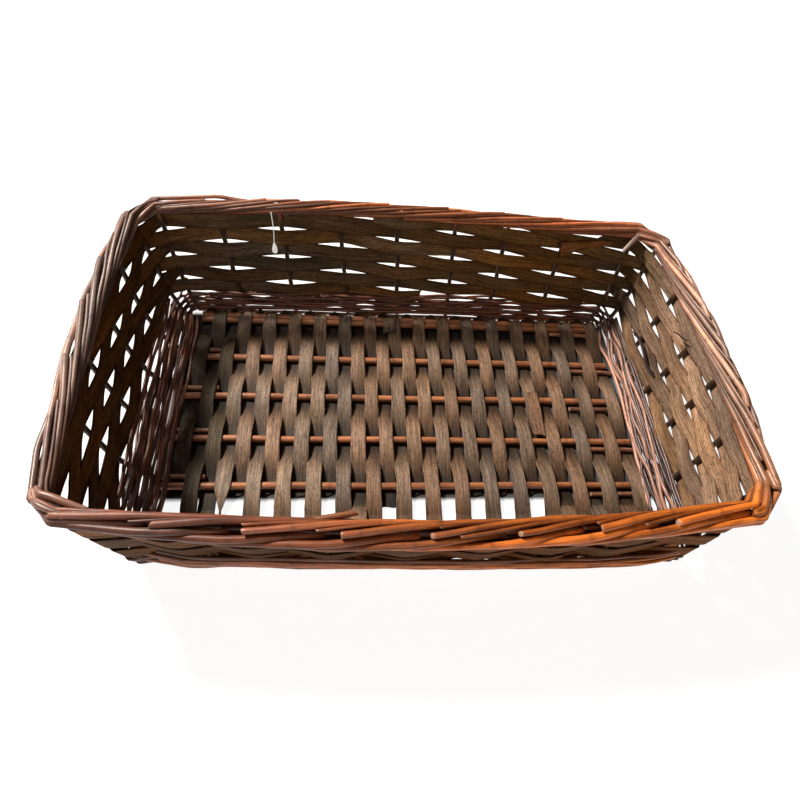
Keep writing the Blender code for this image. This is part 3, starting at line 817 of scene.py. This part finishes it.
def floor_tint_and_painted_shade(line, at):
    """Each run has its own wood, with painted shade: darker and warmer where it dips low under the sticks, lighter and
    greyer where it rides high, and darker towards the left wall, at the low parts past the near stick and just inside
    the far edge pair.
    """
    k = np.interp(line[:, 0], RUNS, range(32))
    low = np.floor(k).astype(int)
    f = np.clip((k - low - 0.3) / 0.4, 0, 1)[:, None]
    # olive stays unmixed as painted shade, and the other woods are drawn towards one common tone
    woods = np.array([WOODS[w] if w == "olive" else WOODS[w] * 0.60 + V(0.215, 0.140, 0.089) * 0.40 for w in FLOOR_WOODS])
    rng = np.random.default_rng(4300)
    woods = woods * rng.uniform(0.86, 1.14, (32, 1))
    base = woods[low] * (1 - f) + woods[np.minimum(low + 1, 31)] * f
    # painted shade: high is how far up the run rides, and the low parts, where it dives under a stick, are painted dark
    high = np.clip((line[:, 2] - UNDER_Z) / (OVER_Z - UNDER_Z), 0, 1)[:, None]
    # painted shadow of the left wall on the leftmost runs
    side = 1 - 0.30 * np.clip((-120.0 - line[:, 0]) / 50.0, 0, 1)[:, None]
    # painted shade on the low parts just past the near stick
    front = 1 - 0.55 * (np.clip((-66.0 - line[:, 1]) / 8.0, 0, 1) * (line[:, 2] < 4.0) * (line[:, 1] > -83.0))[:, None]
    # the ends beyond that are painted lighter, as lying out of the shade
    high = np.maximum(high, 0.55 * np.clip((-84.0 - line[:, 1]) / 6.0, 0, 1)[:, None])
    high = np.where((np.abs(line[:, 0] - RUNS[2]) < 5)[:, None] & (line[:, 1] < -68)[:, None], np.maximum(high, 0.8), high)
    # painted shade on the low parts just inside the far edge pair
    far = 1 - 0.80 * (np.clip((line[:, 1] - 84.0) / 8.0, 0, 1) * (1 - high[:, 0]))[:, None]
    # painted shade is warmer, painted light greyer
    painted_shade_hue = V(1.10, 0.98, 0.82) * (1 - high) + V(0.97, 1.0, 1.05) * high
    return base * painted_shade_hue * (0.10 + 0.98 * high) * side * front * far


def run_path(k, cut_front):
    """One strip from the back edge pair to the front one: points 1.5 mm apart in y."""
    odd = k % 2 == 1
    x = strip_x(k)
    rng = np.random.default_rng(4000 + k)
    stops = [(112.0, odd), (103.0, odd)]
    over = not odd
    for y in reversed(STICK_Y):
        stops += [(y + 1.6, over), (y - 1.6, over)]
        over = not over
    if cut_front:
        stops.append((-81.5 if k == 14 else -101.0 if k == 2 else STICK_Y[0] - 7.5 - 1.2 * (k % 3), False))
    else:
        stops += [(-103.0, not odd), (-112.0, not odd)]
    ys, zs = [], []
    for (y0, o0), (y1, o1) in zip(stops, stops[1:]):
        n = max(2, int(round((y0 - y1) / 1.5)))
        for q in range(n):
            f = q / n
            z0, z1 = (OVER_Z if o0 else UNDER_Z), (OVER_Z if o1 else UNDER_Z)
            ys.append(y0 + (y1 - y0) * f)
            zs.append(z0 + (z1 - z0) * (0.5 - 0.5 * math.cos(math.pi * f)))
    ys.append(stops[-1][0])
    zs.append(OVER_Z if stops[-1][1] else UNDER_Z)
    ys, zs = np.array(ys), np.array(zs)
    xs = x + 0.55 * noise1(ys + 300, 4100 + k, 47.0)
    return np.stack([xs, ys, zs], 1)


def fold_path(k_low, k_high, sign):
    pts = []
    for step in range(1, 8):
        angle = math.radians(-90 + 180 * step / 8)
        x = strip_x(k_low) + (strip_x(k_high) - strip_x(k_low)) * (0.5 - 0.5 * math.cos(math.pi * step / 8))
        pts.append(V(x, sign * (EDGE_Y[1] + 3.55 * math.cos(angle)), STICK_Z + 3.55 * math.sin(angle)))
    return pts


def floor_weave():
    for number, ks in enumerate(LENGTHS, 1):
        build = Build()
        path = []
        for place_, k in enumerate(ks):
            first = place_ == 0
            run = list(run_path(k, cut_front=(k % 2 == 0 and first)))
            if k % 2 == 0:
                if not first:
                    path += fold_path(k - 1, k, -1.0)
                path += run[::-1]
            else:
                path += fold_path(k - 1, k, 1.0)
                path += run
        path = np.array(path)
        n = len(path)
        wide = np.tile(V(1.0, 0, 0), (n, 1))
        seed = 4200 + number * 17
        at = np.concatenate([[0], np.cumsum(np.linalg.norm(np.diff(path, axis=0), axis=1))])
        wide[:, 2] += 0.06 * noise1(at, seed, 30.0)
        high = np.clip((path[:, 2] - UNDER_Z) / (OVER_Z - UNDER_Z), 0, 1)
        half = 6.45 - 0.60 * np.clip((high - 0.70) / 0.30, 0, 1) + 0.20 * noise1(at, seed + 1, 60.0)
        half = half * (1 + 0.08 * np.clip((path[:, 0] - 110.0) / 60.0, 0, 1))
        left, far = half.copy(), half.copy()
        if 3 in ks:      # this one runs out to a point
            mine = (np.abs(path[:, 0] - strip_x(3)) < 3) & (path[:, 1] < -66)
            thin = np.clip((path[:, 1] + 88.0) / 20.0, 0.16, 1)
            left = np.where(mine, half * thin, half)
            far = np.where(mine, half * thin, half)
        build.strip(path, wide, left, far, floor_tint_and_painted_shade, seed, thick=0.95, cup=0.18,
                    ends=(0.5 if 14 in ks else -4.5, 0.5), jag=(0.7, 0.4))
        if 25 in ks:     # a length that gave out and was overlaid with another
            x = strip_x(25)
            line = [V(x + 0.6, y, 8.9 + 0.4 * math.sin(y / 9.0)) for y in np.linspace(24, -18, 29)]
            build.strip(line, V(1, 0, 0.03), 5.6, 5.7, WOODS["brown"] * 0.95, seed + 3, thick=0.8, ends=(1.0, 2.0), jag=(0.5, 1.2))
        if 14 in ks:     # a spare end folded over the far edge
            line = [V(-8.0 + 0.02 * (y - 112), y, 8.9) for y in np.linspace(108.5, 90, 15)]
            build.strip(line, V(1, 0, 0.02), 5.8, 5.8, WOODS["grey"] * 0.8, seed + 4, thick=0.9, ends=(0.5, -3.0), jag=(0.3, 0.8))
        for v in build.verts:    # folded parts press flat against whatever the basket stands on
            v[:, 2] = np.where(v[:, 2] < 0.3, 0.3 + (v[:, 2] - 0.3) * 0.07, v[:, 2])
        build.make(f"floor_split_strip_{number:02d}", STRIP, "basket", [f"floor_weave_{number:02d}"], "floor_strip")


floor_weave()

# ------------------------------------------------------------------ side weave
# the near wall's entries, 0 to 8, are set dark: painted shade on the outside of the near wall
SIDE_TINTS = (
    (0, (0.150, 0.052, 0.012)), (4, (0.135, 0.045, 0.010)), (8, (0.130, 0.058, 0.024)), (9.5, (0.165, 0.078, 0.027)),
    (14, (0.145, 0.070, 0.025)), (16, (0.150, 0.094, 0.051)), (19, (0.165, 0.098, 0.046)), (22, (0.155, 0.083, 0.030)),
    (23.5, (0.110, 0.072, 0.038)), (25, (0.225, 0.142, 0.094)), (27, (0.292, 0.184, 0.116)), (29.2, (0.292, 0.184, 0.116)),
    (30, (0.165, 0.058, 0.013)),
)


def side_tint(factor, shift, seed):
    """Stain that took unevenly: each length drifts between olive and orange brown."""
    def of(line, at):
        a = noise1(at, seed + 31, 52.0)[:, None]
        b = noise1(at, seed + 32, 90.0)[:, None]
        free = np.interp(around(line) % COUNT, (0, 22.5, 24.5, 29.5, 30), (0.8, 1, 0.22, 0.22, 0.8))[:, None]
        drift = 1 + b * free * V(0.20, 0.02, -0.34)
        return place_tint(SIDE_TINTS, line) * factor * shift * (1 + 0.26 * a) * drift
    return of


def boundary(j, s):
    """Height of the edge between bands j-1 and j, by stakes passed, s from 0 to 30."""
    base = ROW_TOP_Z + ROW_PITCH / 2 - ROW_PITCH * j
    turn = 2 * math.pi * np.asarray(s, float) / COUNT
    wander = 0.0
    rng = np.random.default_rng(7002 + j)
    for h in range(1, 7):
        wander = wander + rng.uniform(-0.25, 0.25) * np.sin(h * turn + rng.uniform(0, 6.28))
    return base + wander


def lap(s):
    """How far the bands overlap: the weave is closer on the right wall, most of all towards the near end."""
    s = np.asarray(s, float) % COUNT
    return np.interp(s, (0, 4, 8, 9, 14, 15, 16, 22.5, 23.8, 25.0, 27.0, 29.3, 30),
                     (2.8, 3.6, 3.0, 1.10, 0.95, 0.45, 0.25, 0.25, 0.4, 0.75, 1.4, 1.9, 2.8))


LIFT = (0.0, 1.0, 2.0, 3.0, 4.0, 4.5)
SHORT = ((0, 0.35), (0.6, 0), (7.4, 0), (8, 0.35), (9, 1), (14, 1), (15, 0.35), (15.6, 0), (22.4, 0), (23, 0.35),
         (24, 1), (29, 1), (30, 0.35))


def lift_at(s):
    """The short walls' bands ride higher than the long walls'."""
    return np.interp(np.asarray(s, float) % COUNT, [a for a, _ in SHORT], [b for _, b in SHORT])


TURN = 23          # every length starts a fresh round at the far right corner
FALL = ((15.3, 0), (16, 0), (18, 0), (19, 5.2), (20, 7.2), (21, 11.0), (22, 17.5), (23, 2 * ROW_PITCH))
SPREAD = ((15.2, 0), (15.8, 1), (18, 1), (19, 0.4), (20, 0))


def band_z(r, u):
    """Height of the middle of length r at round place u, counted in stakes from the far right corner."""
    s = u % COUNT
    z = ROW_TOP_Z - ROW_PITCH * r
    row = min(max(r, 0), ROWS - 1)
    z = z + LIFT[row] * float(lift_at(s))
    if u >= 45:
        z = z - float(np.interp(s if s < TURN else TURN, [a for a, _ in FALL], [b for _, b in FALL]))
        z = z + (3.0 - 1.1 * r) * float(np.interp(s, [a for a, _ in SPREAD], [b for _, b in SPREAD]))
    return z


def band_anchors(r, u):
    """Points of length r where it passes stake u, and half way to the next."""
    if u >= TURN + COUNT:
        return [(p, s + COUNT, l) for p, s, l in band_anchors(r + 2, u - COUNT)]
    if u < TURN:
        return [(p, s - COUNT, l) for p, s, l in band_anchors(r - 2, u + COUNT)]
    i = u % COUNT
    z = band_z(r, u)
    outside = (i + r) % 2 == 1
    off = 2.95 if outside else -2.95
    lean = lean_at(i, z)
    centre = stake_at(i, z)
    (t0, n0), (t1, n1) = edge(i - 1, z), edge(i, z)
    middle, stretch = outward(i, z)
    rng = np.random.default_rng(7200 + r * 50 + i)
    off *= rng.uniform(0.96, 1.12)
    flat = 3.0
    before = np.linalg.norm(stake_at(i, z) - stake_at(i - 1, z))
    after = np.linalg.norm(stake_at(i + 1, z) - stake_at(i, z))
    slope = (band_z(r, u + 1) - z if u + 1 < TURN + COUNT else 0.0) / after
    back_slope = (z - band_z(r, u - 1) if u - 1 >= TURN else 0.0) / before
    rise = lean / lean[2]
    local = [(centre - t0 * flat + square_to(n0, lean) * off - rise * (flat * back_slope), u - flat / before, lean)]
    if stretch > 1.02:
        local.append((centre + square_to(middle, lean) * off * (stretch if outside else 0.9), float(u), lean))
    local.append((centre + t1 * flat + square_to(n1, lean) * off + rise * (flat * slope), u + flat / after, lean))
    z1 = band_z(r, u + 1) if u + 1 < TURN + COUNT else band_z(r + 2, u + 1 - COUNT)
    mid = (centre + stake_at(i + 1, z1)) / 2
    local.append((mid, u + 0.5, unit(lean + lean_at(i + 1, z1))))
    return local


def band(build, r, u0, u1, seed, tint, lift=0.0, ends=(0.0, 0.0), start=0.0, joins=(False, False)):
    """The part of length r between round places u0 and u1."""
    rows_ = [a for u in range(int(math.floor(u0)) - 1, int(math.ceil(u1)) + 2) for a in band_anchors(r, u)]
    line, at, extra = smooth(np.array([p for p, _, _ in rows_]), 2.2, np.array([[s, *l] for _, s, l in rows_]))
    keep = (extra[:, 0] >= u0) & (extra[:, 0] <= u1)
    cuts = [np.array([np.interp(u, extra[:, 0], line[:, c]) for c in range(3)]) for u in (u0, u1)]
    line = np.vstack([cuts[:1], line[keep], cuts[1:]])
    more = [[np.interp(u, extra[:, 0], extra[:, c]) for c in range(4)] for u in (u0, u1)]
    extra = np.vstack([more[:1], extra[keep], more[1:]])
    s, lean = extra[:, 0], extra[:, 1:4]
    gap = np.linalg.norm(np.diff(line, axis=0), axis=1)
    ok = np.concatenate([[True], gap[:-1] > 0.25, [True]]) if len(line) > 3 else np.ones(len(line), bool)
    line, s, lean = line[ok], s[ok], lean[ok]
    at = s * 42.0
    row = min(max(r, 0), ROWS - 1)
    rise = lift_at(s)
    above = (LIFT[max(row - 1, 0)] - LIFT[row]) / 2
    below = (LIFT[min(row + 1, ROWS - 1)] - LIFT[row]) / 2
    z = ROW_TOP_Z - ROW_PITCH * r
    spread = np.interp(s % COUNT, [a for a, _ in SPREAD], [b for _, b in SPREAD])
    high = boundary(r, s) - z + above * rise + 0.10 + 0.25 * noise1(at, seed + 1, 60.0) + lap(s) + 0.5 * spread
    down = z - boundary(r + 1, s) - below * rise + 0.10 + 0.25 * noise1(at, seed + 2, 60.0) + lap(s) + 0.5 * spread
    if r <= 0:
        high = high + 2.2 * spread
    if r < 0:       # these come out from under the roll
        high = np.minimum(high, 106.5 - line[:, 2] - 9.6 * np.clip(2.0 * (1 - np.abs(s - 52.29) / 0.34), 0, 1) * (r == -2))
    if lift:
        t = tangents(line)
        normal = np.cross(t, lean)
        normal /= np.linalg.norm(normal, axis=1, keepdims=True)
        fade = np.clip(1 - (at - at[0]) / 60.0, 0, 1)
        line = line + normal * (lift * fade)[:, None]
    return build.strip(line, lean, down, high, tint, seed, thick=0.95, cup=0.0, ends=ends, start=start, joins=joins)


def side_weave():
    builds = [Build() for _ in range(ROWS)]
    for r in range(-2, ROWS):
        rng = np.random.default_rng(7300 + r)
        seed = 7420 + r * 10
        tint = side_tint(rng.uniform(0.80, 1.22), 1 + rng.uniform(-0.07, 0.07) * V(1.0, 0.0, -1.5), seed)
        fresh = side_tint(rng.uniform(0.80, 1.22), 1 + rng.uniform(-0.07, 0.07) * V(1.0, 0.0, -1.5), seed + 5)
        if r >= 0:
            joint = rng.uniform(31, 41)
            band(builds[r], r, TURN, joint + 1.2, seed, tint, ends=(0.0, rng.uniform(-5, 5)), joins=(True, False))
            reached = band(builds[r], r, joint, 49.7 if r < 5 else 49.4, seed + 5, fresh,
                           lift=1.0 if rng.uniform() < 0.5 else -1.0,
                           ends=(rng.uniform(-5, 5), 0.0 if r < 5 else 3.0), joins=(False, r < 5))
        if r < 5:
            first = {-2: 51.2, -1: 48.6}.get(r, 49.7)
            reached = band(builds[max(r + 1, 0)], r, first, 52.25, seed + 5, fresh, start=reached if r >= 0 else 0.0,
                           joins=(r >= 0, True))
            band(builds[min(r + 2, 5)], r, 52.25, 52.65 if r == 4 else TURN + COUNT, seed + 5, fresh, start=reached,
                 ends=(0.0, 4.0 if r == 4 else 0.0), joins=(True, r != 4))
    for row, build in enumerate(builds):
        if row == 0:     # a cut end that stands out from the far wall
            xs = np.linspace(138.0, 187.0, 24)
            bottom = np.interp(xs, (138.0, 156.0, 187.0), (77.8, 87.4, 95.6))
            high_ = np.interp(xs, (138.0, 154.0, 175.0, 187.0), (95.0, 96.0, 98.6, 97.8))
            line = [V(x, 127.4 + 0.12 * ((a + b) / 2 - 95), (a + b) / 2) for x, a, b in zip(xs, bottom, high_)]
            build.strip(line, V(0.0, 0.12, 1.0), (high_ - bottom) / 2, (high_ - bottom) / 2,
                        V(0.27, 0.118, 0.042), 7990, thick=0.8, ends=(-2.0, 0.0), jag=(0.5, 0.1))
        if row == 1:     # a splinter raised on the top of the right wall
            line, _ = smooth([V(213.6, 30.5, 90.0), V(214.3, 26.0, 92.6), V(215.2, 20.0, 94.4), V(216.0, 15.5, 97.4)], 1.5)
            build.strip(line, V(0.2, 0.3, 1.0), 0.55, 0.45, V(0.055, 0.036, 0.026), 7992, thick=0.5, ends=(1.0, -1.0))
        if row == 4:     # a dark torn sliver curling off the right wall
            line = [V(210.4, 66, 45.5), V(210.2, 60, 49.0), V(209.6, 50, 51.2), V(209.2, 37, 51.0), V(209.0, 24, 49.4), V(209.8, 15, 52.5)]
            line, _ = smooth(line, 2.0)
            build.strip(line, V(-0.35, 0, 1.0), np.interp(np.linspace(0, 1, len(line)), (0, 0.6, 1), (1.0, 3.4, 1.6)), 2.6,
                        V(0.070, 0.055, 0.056), 7991, thick=0.7, cup=0.8, ends=(2.0, -2.0))
        build.make(f"side_split_strip_{row + 1}", SIDE, "basket", [f"side_strip_row_{row + 1}"], "side_strip")


side_weave()

# ------------------------------------------------------------------ wale round the foot
# the right wall's entries, 24.5 to 29, are very dark: painted shade behind the loose rods on that wall
WALE_TINTS = (
    (0, (0.180, 0.066, 0.022)), (4, (0.140, 0.050, 0.022)), (8, (0.130, 0.052, 0.030)), (10, (0.135, 0.052, 0.032)),
    (14, (0.120, 0.046, 0.030)), (16, (0.155, 0.047, 0.021)), (22, (0.165, 0.048, 0.021)), (24.5, (0.080, 0.034, 0.022)),
    (26, (0.055, 0.024, 0.016)), (29, (0.060, 0.026, 0.016)), (30, (0.180, 0.066, 0.022)),
)

NEAR_TINTS = (
    (0, (0.44, 0.125, 0.020)), (4, (0.40, 0.110, 0.020)), (6.5, (0.29, 0.092, 0.036)), (8, (0.24, 0.098, 0.058)), (9, (0.20, 0.090, 0.060)),
    (29, (0.30, 0.120, 0.050)), (30, (0.40, 0.125, 0.026)),
)


def wale():
    """Thin rods that pass outside one stake and inside the next two, a few rounds of them."""
    rods = []
    for k, (start, laps, z0, rise, phase) in enumerate((
        (2, 3.65, 3.6, 5.9, 0), (12, 3.7, 3.6, 5.9, 1), (22, 3.6, 3.6, 5.9, 2),
    )):
        seed = 8000 + k * 31
        pts = []
        for n in range(int(round(laps * COUNT)) + 1):
            i = start + n
            z = z0 + rise * n / COUNT + 1.0 * float(noise1(n, seed, 1.6))
            z = max(z, 1.6)
            outside = (i + phase) % 3 == 0
            off = 3.4 if outside else -3.25
            normal, stretch = outward(i, z)
            lean = lean_at(i, z)
            centre = stake_at(i, z)
            off += 0.55 * float(noise1(n, seed + 1, 1.3))
            if stretch < 1.02:
                pts.append(centre + square_to(normal, lean) * off)
                continue
            (t0, n0), (t1, n1) = edge(i - 1, z), edge(i, z)
            pts.append(centre - t0 * 3.4 + square_to(n0, lean) * off)
            if outside:
                pts.append(centre + square_to(normal, lean) * off * stretch)
            pts.append(centre + t1 * 3.4 + square_to(n1, lean) * off)
        rods.append((pts, seed, None))
    # loose lengths laid along the inside of the short walls, against the floor
    for side, colour, middle, heights in (
        (-1, V(0.215, 0.085, 0.052), 11, (6.2, 8.0, 9.8, 11.7, 13.6, 15.5, 17.4, 19.4, 21.4, 23.4, 25.5, 27.7, 29.9, 32.2)),
        (1, V(0.420, 0.205, 0.138), 26, (7.6, 10.2, 13.0, 16.4, 19.4, 22.2, 25.0)),
    ):
        for q, z in enumerate(heights):
            rng = np.random.default_rng(8200 + side * 20 + q)
            near, away = -104 + rng.uniform(0, 14), 108 - rng.uniform(0, 8)
            if side > 0 and q % 2:
                near, away = (-98, rng.uniform(-10, 20)) if q == 1 else (rng.uniform(-60, -20), 100)
            ys = np.linspace(near, away, 12)
            pts = []
            for n, y in enumerate(ys):
                zz = z + (3.1 if side > 0 else 1.15) * float(noise1(y, 8210 + side * 30 + q, 30.0 if side > 0 else 38.0)) + rng.uniform(-0.4, 0.4)
                if side < 0:
                    x = -185.6 - 20.6 * (zz - 8) / 23.0 - 1.2 * math.cos(y / 60.0)
                else:
                    x = stake_at(middle, zz)[0] - 4.4 - 3.2 * max(0.0, 1 - (zz - 6) / 10.0) - 2.2 * max(0.0, -y / 90.0)
                pts.append(V(x + rng.uniform(-0.6, 0.6), y, max(zz, 3.0)))
            pts[0] = pts[0] + V(side * 3.0, 0, -1.0)
            pts[-1] = pts[-1] + V(side * 3.0, 0, -1.0)
            share = (1.2, 0.32, 1.1, 0.7, 1.3, 0.30, 1.0)[q] if side > 0 else 1.0
            rods.append((pts, 8300 + side * 100 + q * 7, colour * share))
    # these are painted nearly black: painted shade behind the loose rods of the right wall
    for q, z in enumerate((24.5, 27.5, 30.0)):      # darker ones behind, close under the lowest band of the right wall
        rng = np.random.default_rng(8250 + q)
        pts = [V(stake_at(26, z)[0] - 2.4 + rng.uniform(-0.4, 0.4), y, z + rng.uniform(-0.7, 0.7)) for y in np.linspace(-100, 100, 11)]
        rods.append((pts, 8540 + q * 7, V(0.070, 0.032, 0.021)))
    # and along the far wall, inside the stakes and outside them
    for q, (inside, z) in enumerate(((1, 4.4), (1, 8.6), (0, 7.0), (0, 11.6), (1, 13.4), (0, 16.2), (0, 20.0))):
        rng = np.random.default_rng(8260 + q)
        pts = []
        for x in np.linspace(-187 + 2 * q, 190 - 4 * q, 15):
            zz = max(z + rng.uniform(-0.9, 0.9), 2.0)
            y = 121.3 + 0.135 * (zz - FOOT_Z)
            pts.append(V(x, y + (-4.6 if inside else 3.9) + rng.uniform(-0.4, 0.4), zz))
        rods.append((pts, 8560 + q * 7, V(0.225, 0.064, 0.024)))
    for q, (z, off) in enumerate(((4.6, 4.4), (7.8, 5.9), (11.0, 4.4), (14.4, 6.2), (17.8, 4.5), (21.2, 6.3), (24.6, 4.4),
                                     (28.0, 5.8), (31.4, 3.9), (3.4, -4.0), (7.2, -4.6), (11.4, -4.4), (16.2, 3.6), (23.0, 3.5),
                                     (29.5, 3.5))):
        rng = np.random.default_rng(8280 + q)
        pts = []
        for x in np.linspace(-184 + 5 * (q % 3), 200 - 2 * (q % 4), 17):
            zz = max(z + rng.uniform(-1.3, 1.3), 2.0)
            wall_ = np.array([stake_at(i, zz) for i in range(9)])
            y = np.interp(x, wall_[::-1, 0], wall_[::-1, 1])
            pts.append(V(x, y - off + rng.uniform(-0.5, 0.5), zz))
        if off > 0:
            pts[0] = pts[0] + V(0, 3.4, -0.6)
            pts[-1] = pts[-1] + V(2.0, 3.4, -0.4)
        # the rods that stand further out are painted brighter and the ones close behind darker: painted light and shade
        # among the rods on the outside of the near wall
        share = (0.5, 1.35, 0.35, 1.6, 0.32, 1.55, 0.35, 1.2, 0.28, 0.6, 0.5, 0.6, 0.25, 0.25, 0.25)[q]
        rods.append((pts, 8580 + q * 7, lambda line, share=share: place_tint(NEAR_TINTS, line) * share))
    groups = {1: rods[:2] + rods[3:17], 2: rods[2:3] + rods[17:]}
    for number, members in groups.items():
        build = Build()
        for pts, seed, colour in members:
            rng = np.random.default_rng(seed)
            r = rng.uniform(1.22, 1.40)
            if colour is not None:
                r = rng.uniform(1.15, 1.65) if pts[0][0] > 150 and pts[-1][0] > 150 else rng.uniform(1.2, 1.5)
            factor = rng.uniform(0.65, 1.30)

            def tint(line, at, factor=factor, colour=colour):
                return (place_tint(WALE_TINTS, line) if colour is None else colour(line) if callable(colour) else colour) * factor

            build.tube(pts, (r, r * 0.9), tint, seed, sides=10, step=2.0, swell=0.10)
        if number == 1:      # where two ends meet low on the near wall, a cut end faces out
            build.tube([V(-104.5, -121.5, 5.5), V(-104.2, -125.0, 4.6), V(-104.0, -127.2, 4.2)], (1.6, 1.7), V(0.30, 0.15, 0.10), 8500,
                       sides=10, step=1.2, swell=0.0)
        build.make(f"wale_willow_{number}", WALE, "basket", [f"wale_rod_{number}"], "wale_willow")


wale()

# ------------------------------------------------------------------ hang tag
def tag():
    low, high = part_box("tag_thread")
    x, y, top = (low.x + high.x) / 2, (low.y + high.y) / 2, high.z
    mat, tree, shader = nodes_of("white_thread")
    coord = node(tree, "ShaderNodeTexCoord")
    twist = node(tree, "ShaderNodeTexWave", Scale=900.0, Distortion=2.0)
    tree.links.new(coord.outputs["Object"], twist.inputs["Vector"])
    tree.links.new(ramp(tree, twist.outputs["Fac"], [(0.2, (0.70, 0.70, 0.68)), (0.8, (0.92, 0.92, 0.90))]), shader.inputs["Base Color"])
    shader.inputs["Roughness"].default_value = 0.8
    # a faint glow: painted light, so the thread shows white in the far wall's shade
    shader.inputs["Emission Color"].default_value = (1.0, 1.0, 0.98, 1)
    shader.inputs["Emission Strength"].default_value = 0.35
    curve = bpy.data.curves.new("white_tag_thread", "CURVE")
    curve.dimensions = "3D"
    curve.bevel_depth = 0.0004
    curve.bevel_resolution = 3
    curve.use_fill_caps = True
    spline = curve.splines.new("POLY")
    count = 16
    spline.points.add(count - 1)
    for k in range(count):
        f = k / (count - 1)
        spline.points[k].co = (x + 0.0006 * math.sin(3.0 * f), y, top - 0.0302 * f, 1)
    thread = bpy.data.objects.new("white_tag_thread", curve)
    bpy.context.scene.collection.objects.link(thread)
    curve.materials.append(mat)
    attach(thread, "tag")
    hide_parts("tag_thread")

    mat, tree, shader = nodes_of("white_tag_card")
    coord = node(tree, "ShaderNodeTexCoord")
    paper = noise(tree, coord.outputs["Object"], 2500.0, 4.0, 0.6)
    tree.links.new(ramp(tree, paper, [(0.3, (0.80, 0.80, 0.79)), (0.7, (0.93, 0.93, 0.92))]), shader.inputs["Base Color"])
    bump = node(tree, "ShaderNodeBump", Strength=0.2, Distance=0.0001)
    tree.links.new(paper, bump.inputs["Height"])
    tree.links.new(bump.outputs["Normal"], shader.inputs["Normal"])
    shader.inputs["Roughness"].default_value = 0.6
    # a faint glow: painted light, so the card shows white in the far wall's shade
    shader.inputs["Emission Color"].default_value = (1.0, 1.0, 0.98, 1)
    shader.inputs["Emission Strength"].default_value = 0.45
    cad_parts["hang_tag"].data.materials.clear()
    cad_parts["hang_tag"].data.materials.append(mat)


tag()

# ------------------------------------------------------------------ floor, world and light
def stage():
    mesh = bpy.data.meshes.new("studio_floor")
    size = 6.0
    mesh.from_pydata([(-size, -size, 0), (size, -size, 0), (size, size, 0), (-size, size, 0)], [], [(0, 1, 2, 3)])
    floor = bpy.data.objects.new("studio_floor", mesh)
    floor.location = (0, 0, -0.0002)
    bpy.context.scene.collection.objects.link(floor)
    mat, tree, shader = nodes_of("studio_floor")
    shader.inputs["Roughness"].default_value = 0.9
    shader.inputs["Specular IOR Level"].default_value = 0.0
    coord = node(tree, "ShaderNodeTexCoord")
    split = node(tree, "ShaderNodeSeparateXYZ")
    tree.links.new(coord.outputs["Object"], split.inputs["Vector"])
    # two boxes under the basket are painted dark and do not glow: a painted shadow under the basket
    across = maths(tree, "DIVIDE", maths(tree, "ABSOLUTE", maths(tree, "SUBTRACT", split.outputs["X"], 0.0055)), 0.207)
    deep = maths(tree, "DIVIDE", maths(tree, "ABSOLUTE", maths(tree, "SUBTRACT", split.outputs["Y"], 0.0235)), 0.097)
    aside = maths(tree, "DIVIDE", maths(tree, "ABSOLUTE", maths(tree, "SUBTRACT", split.outputs["X"], 0.1622)), 0.0385)
    near = maths(tree, "DIVIDE", maths(tree, "ABSOLUTE", maths(tree, "SUBTRACT", split.outputs["Y"], -0.071)), 0.027)
    far = maths(tree, "MINIMUM", maths(tree, "MAXIMUM", across, deep), maths(tree, "MAXIMUM", aside, near))
    # lit is 0 inside the painted shadow and 1 on the rest of the floor
    lit = ramp(tree, far, [(0.96, g(0.0)), (1.0, g(1.0))])
    tree.links.new(ramp(tree, lit, [(0.0, g(0.07)), (1.0, g(0.30))]), shader.inputs["Base Color"])
    shader.inputs["Emission Color"].default_value = (1.0, 1.0, 1.0, 1)
    tree.links.new(maths(tree, "MULTIPLY", lit, 0.90), shader.inputs["Emission Strength"])
    mesh.materials.append(mat)

    world = bpy.data.worlds.new("studio")
    bpy.context.scene.world = world
    world.use_nodes = True
    world.node_tree.nodes["Background"].inputs["Color"].default_value = (1.0, 1.0, 1.0, 1)
    world.node_tree.nodes["Background"].inputs["Strength"].default_value = 0.05


def lamp(name, toward, distance, size, power, colour):
    """A square lamp that shines at the basket from the given direction."""
    light = bpy.data.lights.new(name, "AREA")
    light.size = size
    light.energy = power
    light.color = colour
    obj = bpy.data.objects.new(name, light)
    bpy.context.scene.collection.objects.link(obj)
    d = Vector(toward).normalized()
    obj.location = Vector((0, 0, 0.05)) + d * distance
    obj.rotation_mode = "QUATERNION"
    obj.rotation_quaternion = (-d).to_track_quat("-Z", "Y")


stage()
lamp("key", (-0.73, 0.58, 1.0), 1.8, 0.30, 62.0, (1.0, 0.94, 0.87))
lamp("soft_fill", (-0.15, -1.0, 0.75), 1.6, 1.2, 7.0, (1.0, 0.90, 0.78))
bpy.context.scene.view_settings.view_transform = "Standard"
